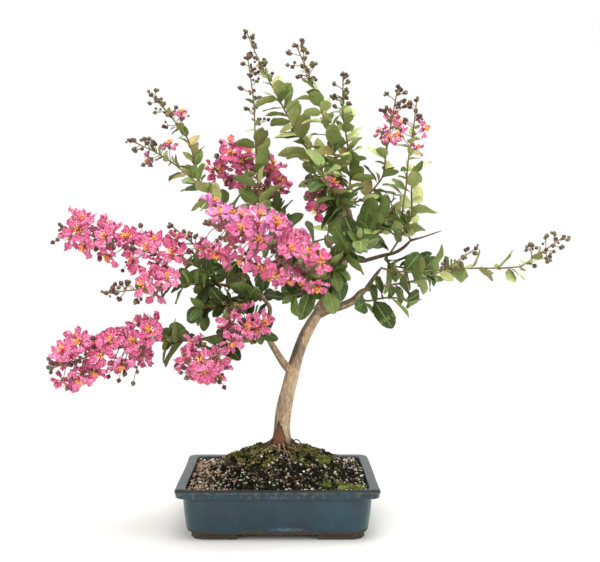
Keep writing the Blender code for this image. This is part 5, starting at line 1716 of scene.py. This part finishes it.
# Shoots whose leaves are lighter (or darker, below 0) than the others: lighter on young shoots and in the
# well-lit right of the crown, partly their own colour and partly painted light; darker inside and low in the
# crown, as painted shade
leafYouthAndShade = {"right_green": 0.45, "right_spire": 0.4, "right_top": 0.36, "right_middle": 0.04,
             "right_low": 0.04, "top": 0.46, "top_middle": 0.44, "top_side": 0.42, "left_spire": 0.46,
             "upper_left": 0.4,
             "side_left": 0.35, "far_right": 0.22, "front_upper": 0.18, "centre": 0.1, "heart_bloom": -0.05,
             "crown_middle": -0.14, "right_inner": 0.0, "front_crown": -0.16, "front_left": -0.1,
             "inner_left": -0.2, "left_low": -0.1, "back_low": -0.15, "back_crown": 0.05, "back_right": 0.05}
stemLook = {
    "step": 5.0,  # mm between rings
    "footRadius": 1.4,
    "endRadius": 1.1,
    "stalkEndRadius": 0.8,
    "around": 7,
    "twigRadii": (1.1, 0.6),  # of dry ends
}
# Dry forked ends of shoots, in the tables' millimetres
dryEnds = {"right_inner": [[(151.6, -20, 401), (147.5, -20.5, 415), (144, -21, 424), (139.7, -20, 430)],
                           [(147, -20.5, 416), (150, -22, 420), (151.4, -21, 430)],
                           [(150, -21.6, 420), (153.5, -24, 421.5)], [(144.2, -21, 423), (141, -23, 423.5)]]}


# A heap that starts with a stem or stalk, and its eased line
def stemHeap(line, foot, end, chance):
    heap, line = Heap(), eased(line, stemLook["step"])
    addTube(heap, line, taper(line, stemLook[foot], stemLook[end]), stemLook["around"], "stalk", chance)
    return heap, line


def makeLeafy(name, line, notes, draw):
    heap, _ = stemHeap(line, "footRadius", "endRadius", 0.3)
    for points in dryEnds.get(name, []):
        twig = curveThrough(points, 2.5)
        addTube(heap, twig, taper(twig, *stemLook["twigRadii"]), stemLook["around"], "bark", 1.0)
    addLeaves(heap, notes, draw, leafYouthAndShade.get(name, 0.0))
    return heap.piece("leafy_" + name)


def makePanicle(name, line, florets, buds, bracts, draw):
    heap, line = stemHeap(line, "endRadius", "stalkEndRadius", 0.5)
    young = shoots[name][5] <= fewFlorets and name not in fuller
    addFlorets(heap, florets, draw, floretLook["youngSize"] if young else 1.0, headTone.get(name, 0))
    addBuds(heap, buds + [(line[-1], line[-1] - line[-2], 3.0)], draw)
    addLeaves(heap, bracts, draw, 0.35 if young else 0.1)
    return heap.piece("panicle_" + name)


def settle(piece, slotName, *nodes):
    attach(piece, "root")
    if nodes:
        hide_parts(*nodes)


wood = growWood()
whole, stems, stalks, repeats = layOut(wood)
counts = [sum(len(notes) for notes in kind.values()) for kind in repeats.values()]
print("florets, buds, leaves and bracts placed:", *counts)

settle(makeWood(wood), "bark", "trunk")
print("wood made")

for number, name in enumerate(shoots):
    draw = np.random.RandomState(1000 + number)
    leafy = pieceOf(whole[name], 0, distanceNearest(whole[name], stems[name][-1]))
    settle(makeLeafy(name, leafy, repeats["leaves"][name], draw), "leaf", "shoot_" + name)
    if name in stalks:
        florets, buds, bracts = [repeats[kind].get(name, []) for kind in ("florets", "buds", "bracts")]
        panicle = makePanicle(name, stalks[name], florets, buds, bracts, draw)
        settle(panicle, "petal" if florets else "bud", "head_" + name)
print("shoots and flower heads made")

settle(makePot(), "glaze", "pot")
settle(makeSoil(), "soil", "soil")
settle(makeGrains(), "soil")
settle(makeStrands(), "soil")
settle(makeMoss(), "leaf")
print("pot, soil and moss made")

for name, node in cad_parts.items():
    if "screen" in name:
        node.data.materials.clear()
        node.data.materials.append(finishesMade["screen"])

# Stage: the table ends a little behind the pot, under a wide pale backdrop; soft lights with their place in
# millimetres from the pot, size in metres and watts
stageLook = {
    "tableFront": -0.8,  # metres from the pot's middle
    "tableBack": 0.32,
    "tableSide": 0.9,
    "tableThick": 0.001,
    "lightFromSky": 0.78,
    "skyShown": 1.0,
    "lampsAim": (30, 0, 260),
    "lamps": {"top": ((120, -60, 1500), 1.2, 26), "left": ((-1000, -900, 700), 1.2, 7),
              "right": ((1100, -800, 600), 1.2, 7)},
}


def makeTable():
    low, side = float(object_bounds()[0][2]), stageLook["tableSide"]
    corners = [(-side, stageLook["tableFront"]), (side, stageLook["tableFront"]),
               (side, stageLook["tableBack"]), (-side, stageLook["tableBack"])]
    mesh = bpy.data.meshes.new("table")
    points = [(x, y, height) for height in (low - stageLook["tableThick"], low) for x, y in corners]
    sides = [(edge, (edge + 1) % 4, 4 + (edge + 1) % 4, 4 + edge) for edge in range(4)]
    mesh.from_pydata(points, [], [(3, 2, 1, 0), (4, 5, 6, 7)] + sides)
    paint = Paint("table top", 0.2, {"low": (235, 235, 230), "high": (238, 238, 233)})
    cloud = paint.noise(3, 2)
    mesh.materials.append(paint.finish(paint.layers("low", (cloud, "high")), 0.7 + cloud * 0.05, cloud, 0.01))
    linked("table", mesh)


# The sky lights the scene a little less than it shows behind it
def makeSky():
    world = bpy.data.worlds.new("studio")
    bpy.context.scene.world = world
    world.use_nodes = True
    tree = world.node_tree
    tree.nodes.clear()
    lit, shown, choice, rays, output = [tree.nodes.new("ShaderNode" + kind) for kind in
                                        ("Background", "Background", "MixShader", "LightPath", "OutputWorld")]
    for background, strength in ((lit, stageLook["lightFromSky"]), (shown, stageLook["skyShown"])):
        background.inputs["Strength"].default_value = strength
        background.inputs["Color"].default_value = (1, 1, 1, 1)
    for outlet, inlet in ((rays.outputs["Is Camera Ray"], choice.inputs[0]),
                          (lit.outputs[0], choice.inputs[1]), (shown.outputs[0], choice.inputs[2]),
                          (choice.outputs[0], output.inputs["Surface"])):
        tree.links.new(outlet, inlet)


def makeLamps():
    for name, (place, size, power) in stageLook["lamps"].items():
        light = bpy.data.lights.new(name, "AREA")
        light.shape, light.size, light.energy = "DISK", size, power
        lamp = linked(name, light)
        lamp.location = located(place)
        aim = Vector(located(stageLook["lampsAim"])) - lamp.location
        lamp.rotation_euler = aim.to_track_quat("-Z", "Y").to_euler()


# Camera: level, a little above the middle of the tree, as the photograph was taken
cameraLook = {
    "place": (4, -1215, 362),
    "lens": 54.96,
    "sensor": 36.0,
    "shift": (19 / 600, -37 / 600),  # shares of the picture's width
}


def makeCamera():
    data = bpy.data.cameras.new("camera")
    data.sensor_fit, data.sensor_width, data.lens = "HORIZONTAL", cameraLook["sensor"], cameraLook["lens"]
    data.shift_x, data.shift_y = cameraLook["shift"]
    data.clip_start = 0.05
    camera = linked("camera", data)
    camera.location = located(cameraLook["place"])
    camera.rotation_euler = (math.pi / 2, 0, 0)
    bpy.context.scene.camera = camera


makeTable()
makeSky()
makeLamps()
makeCamera()
bpy.context.scene.view_settings.view_transform = "Standard"
print("stage, lights and camera set")
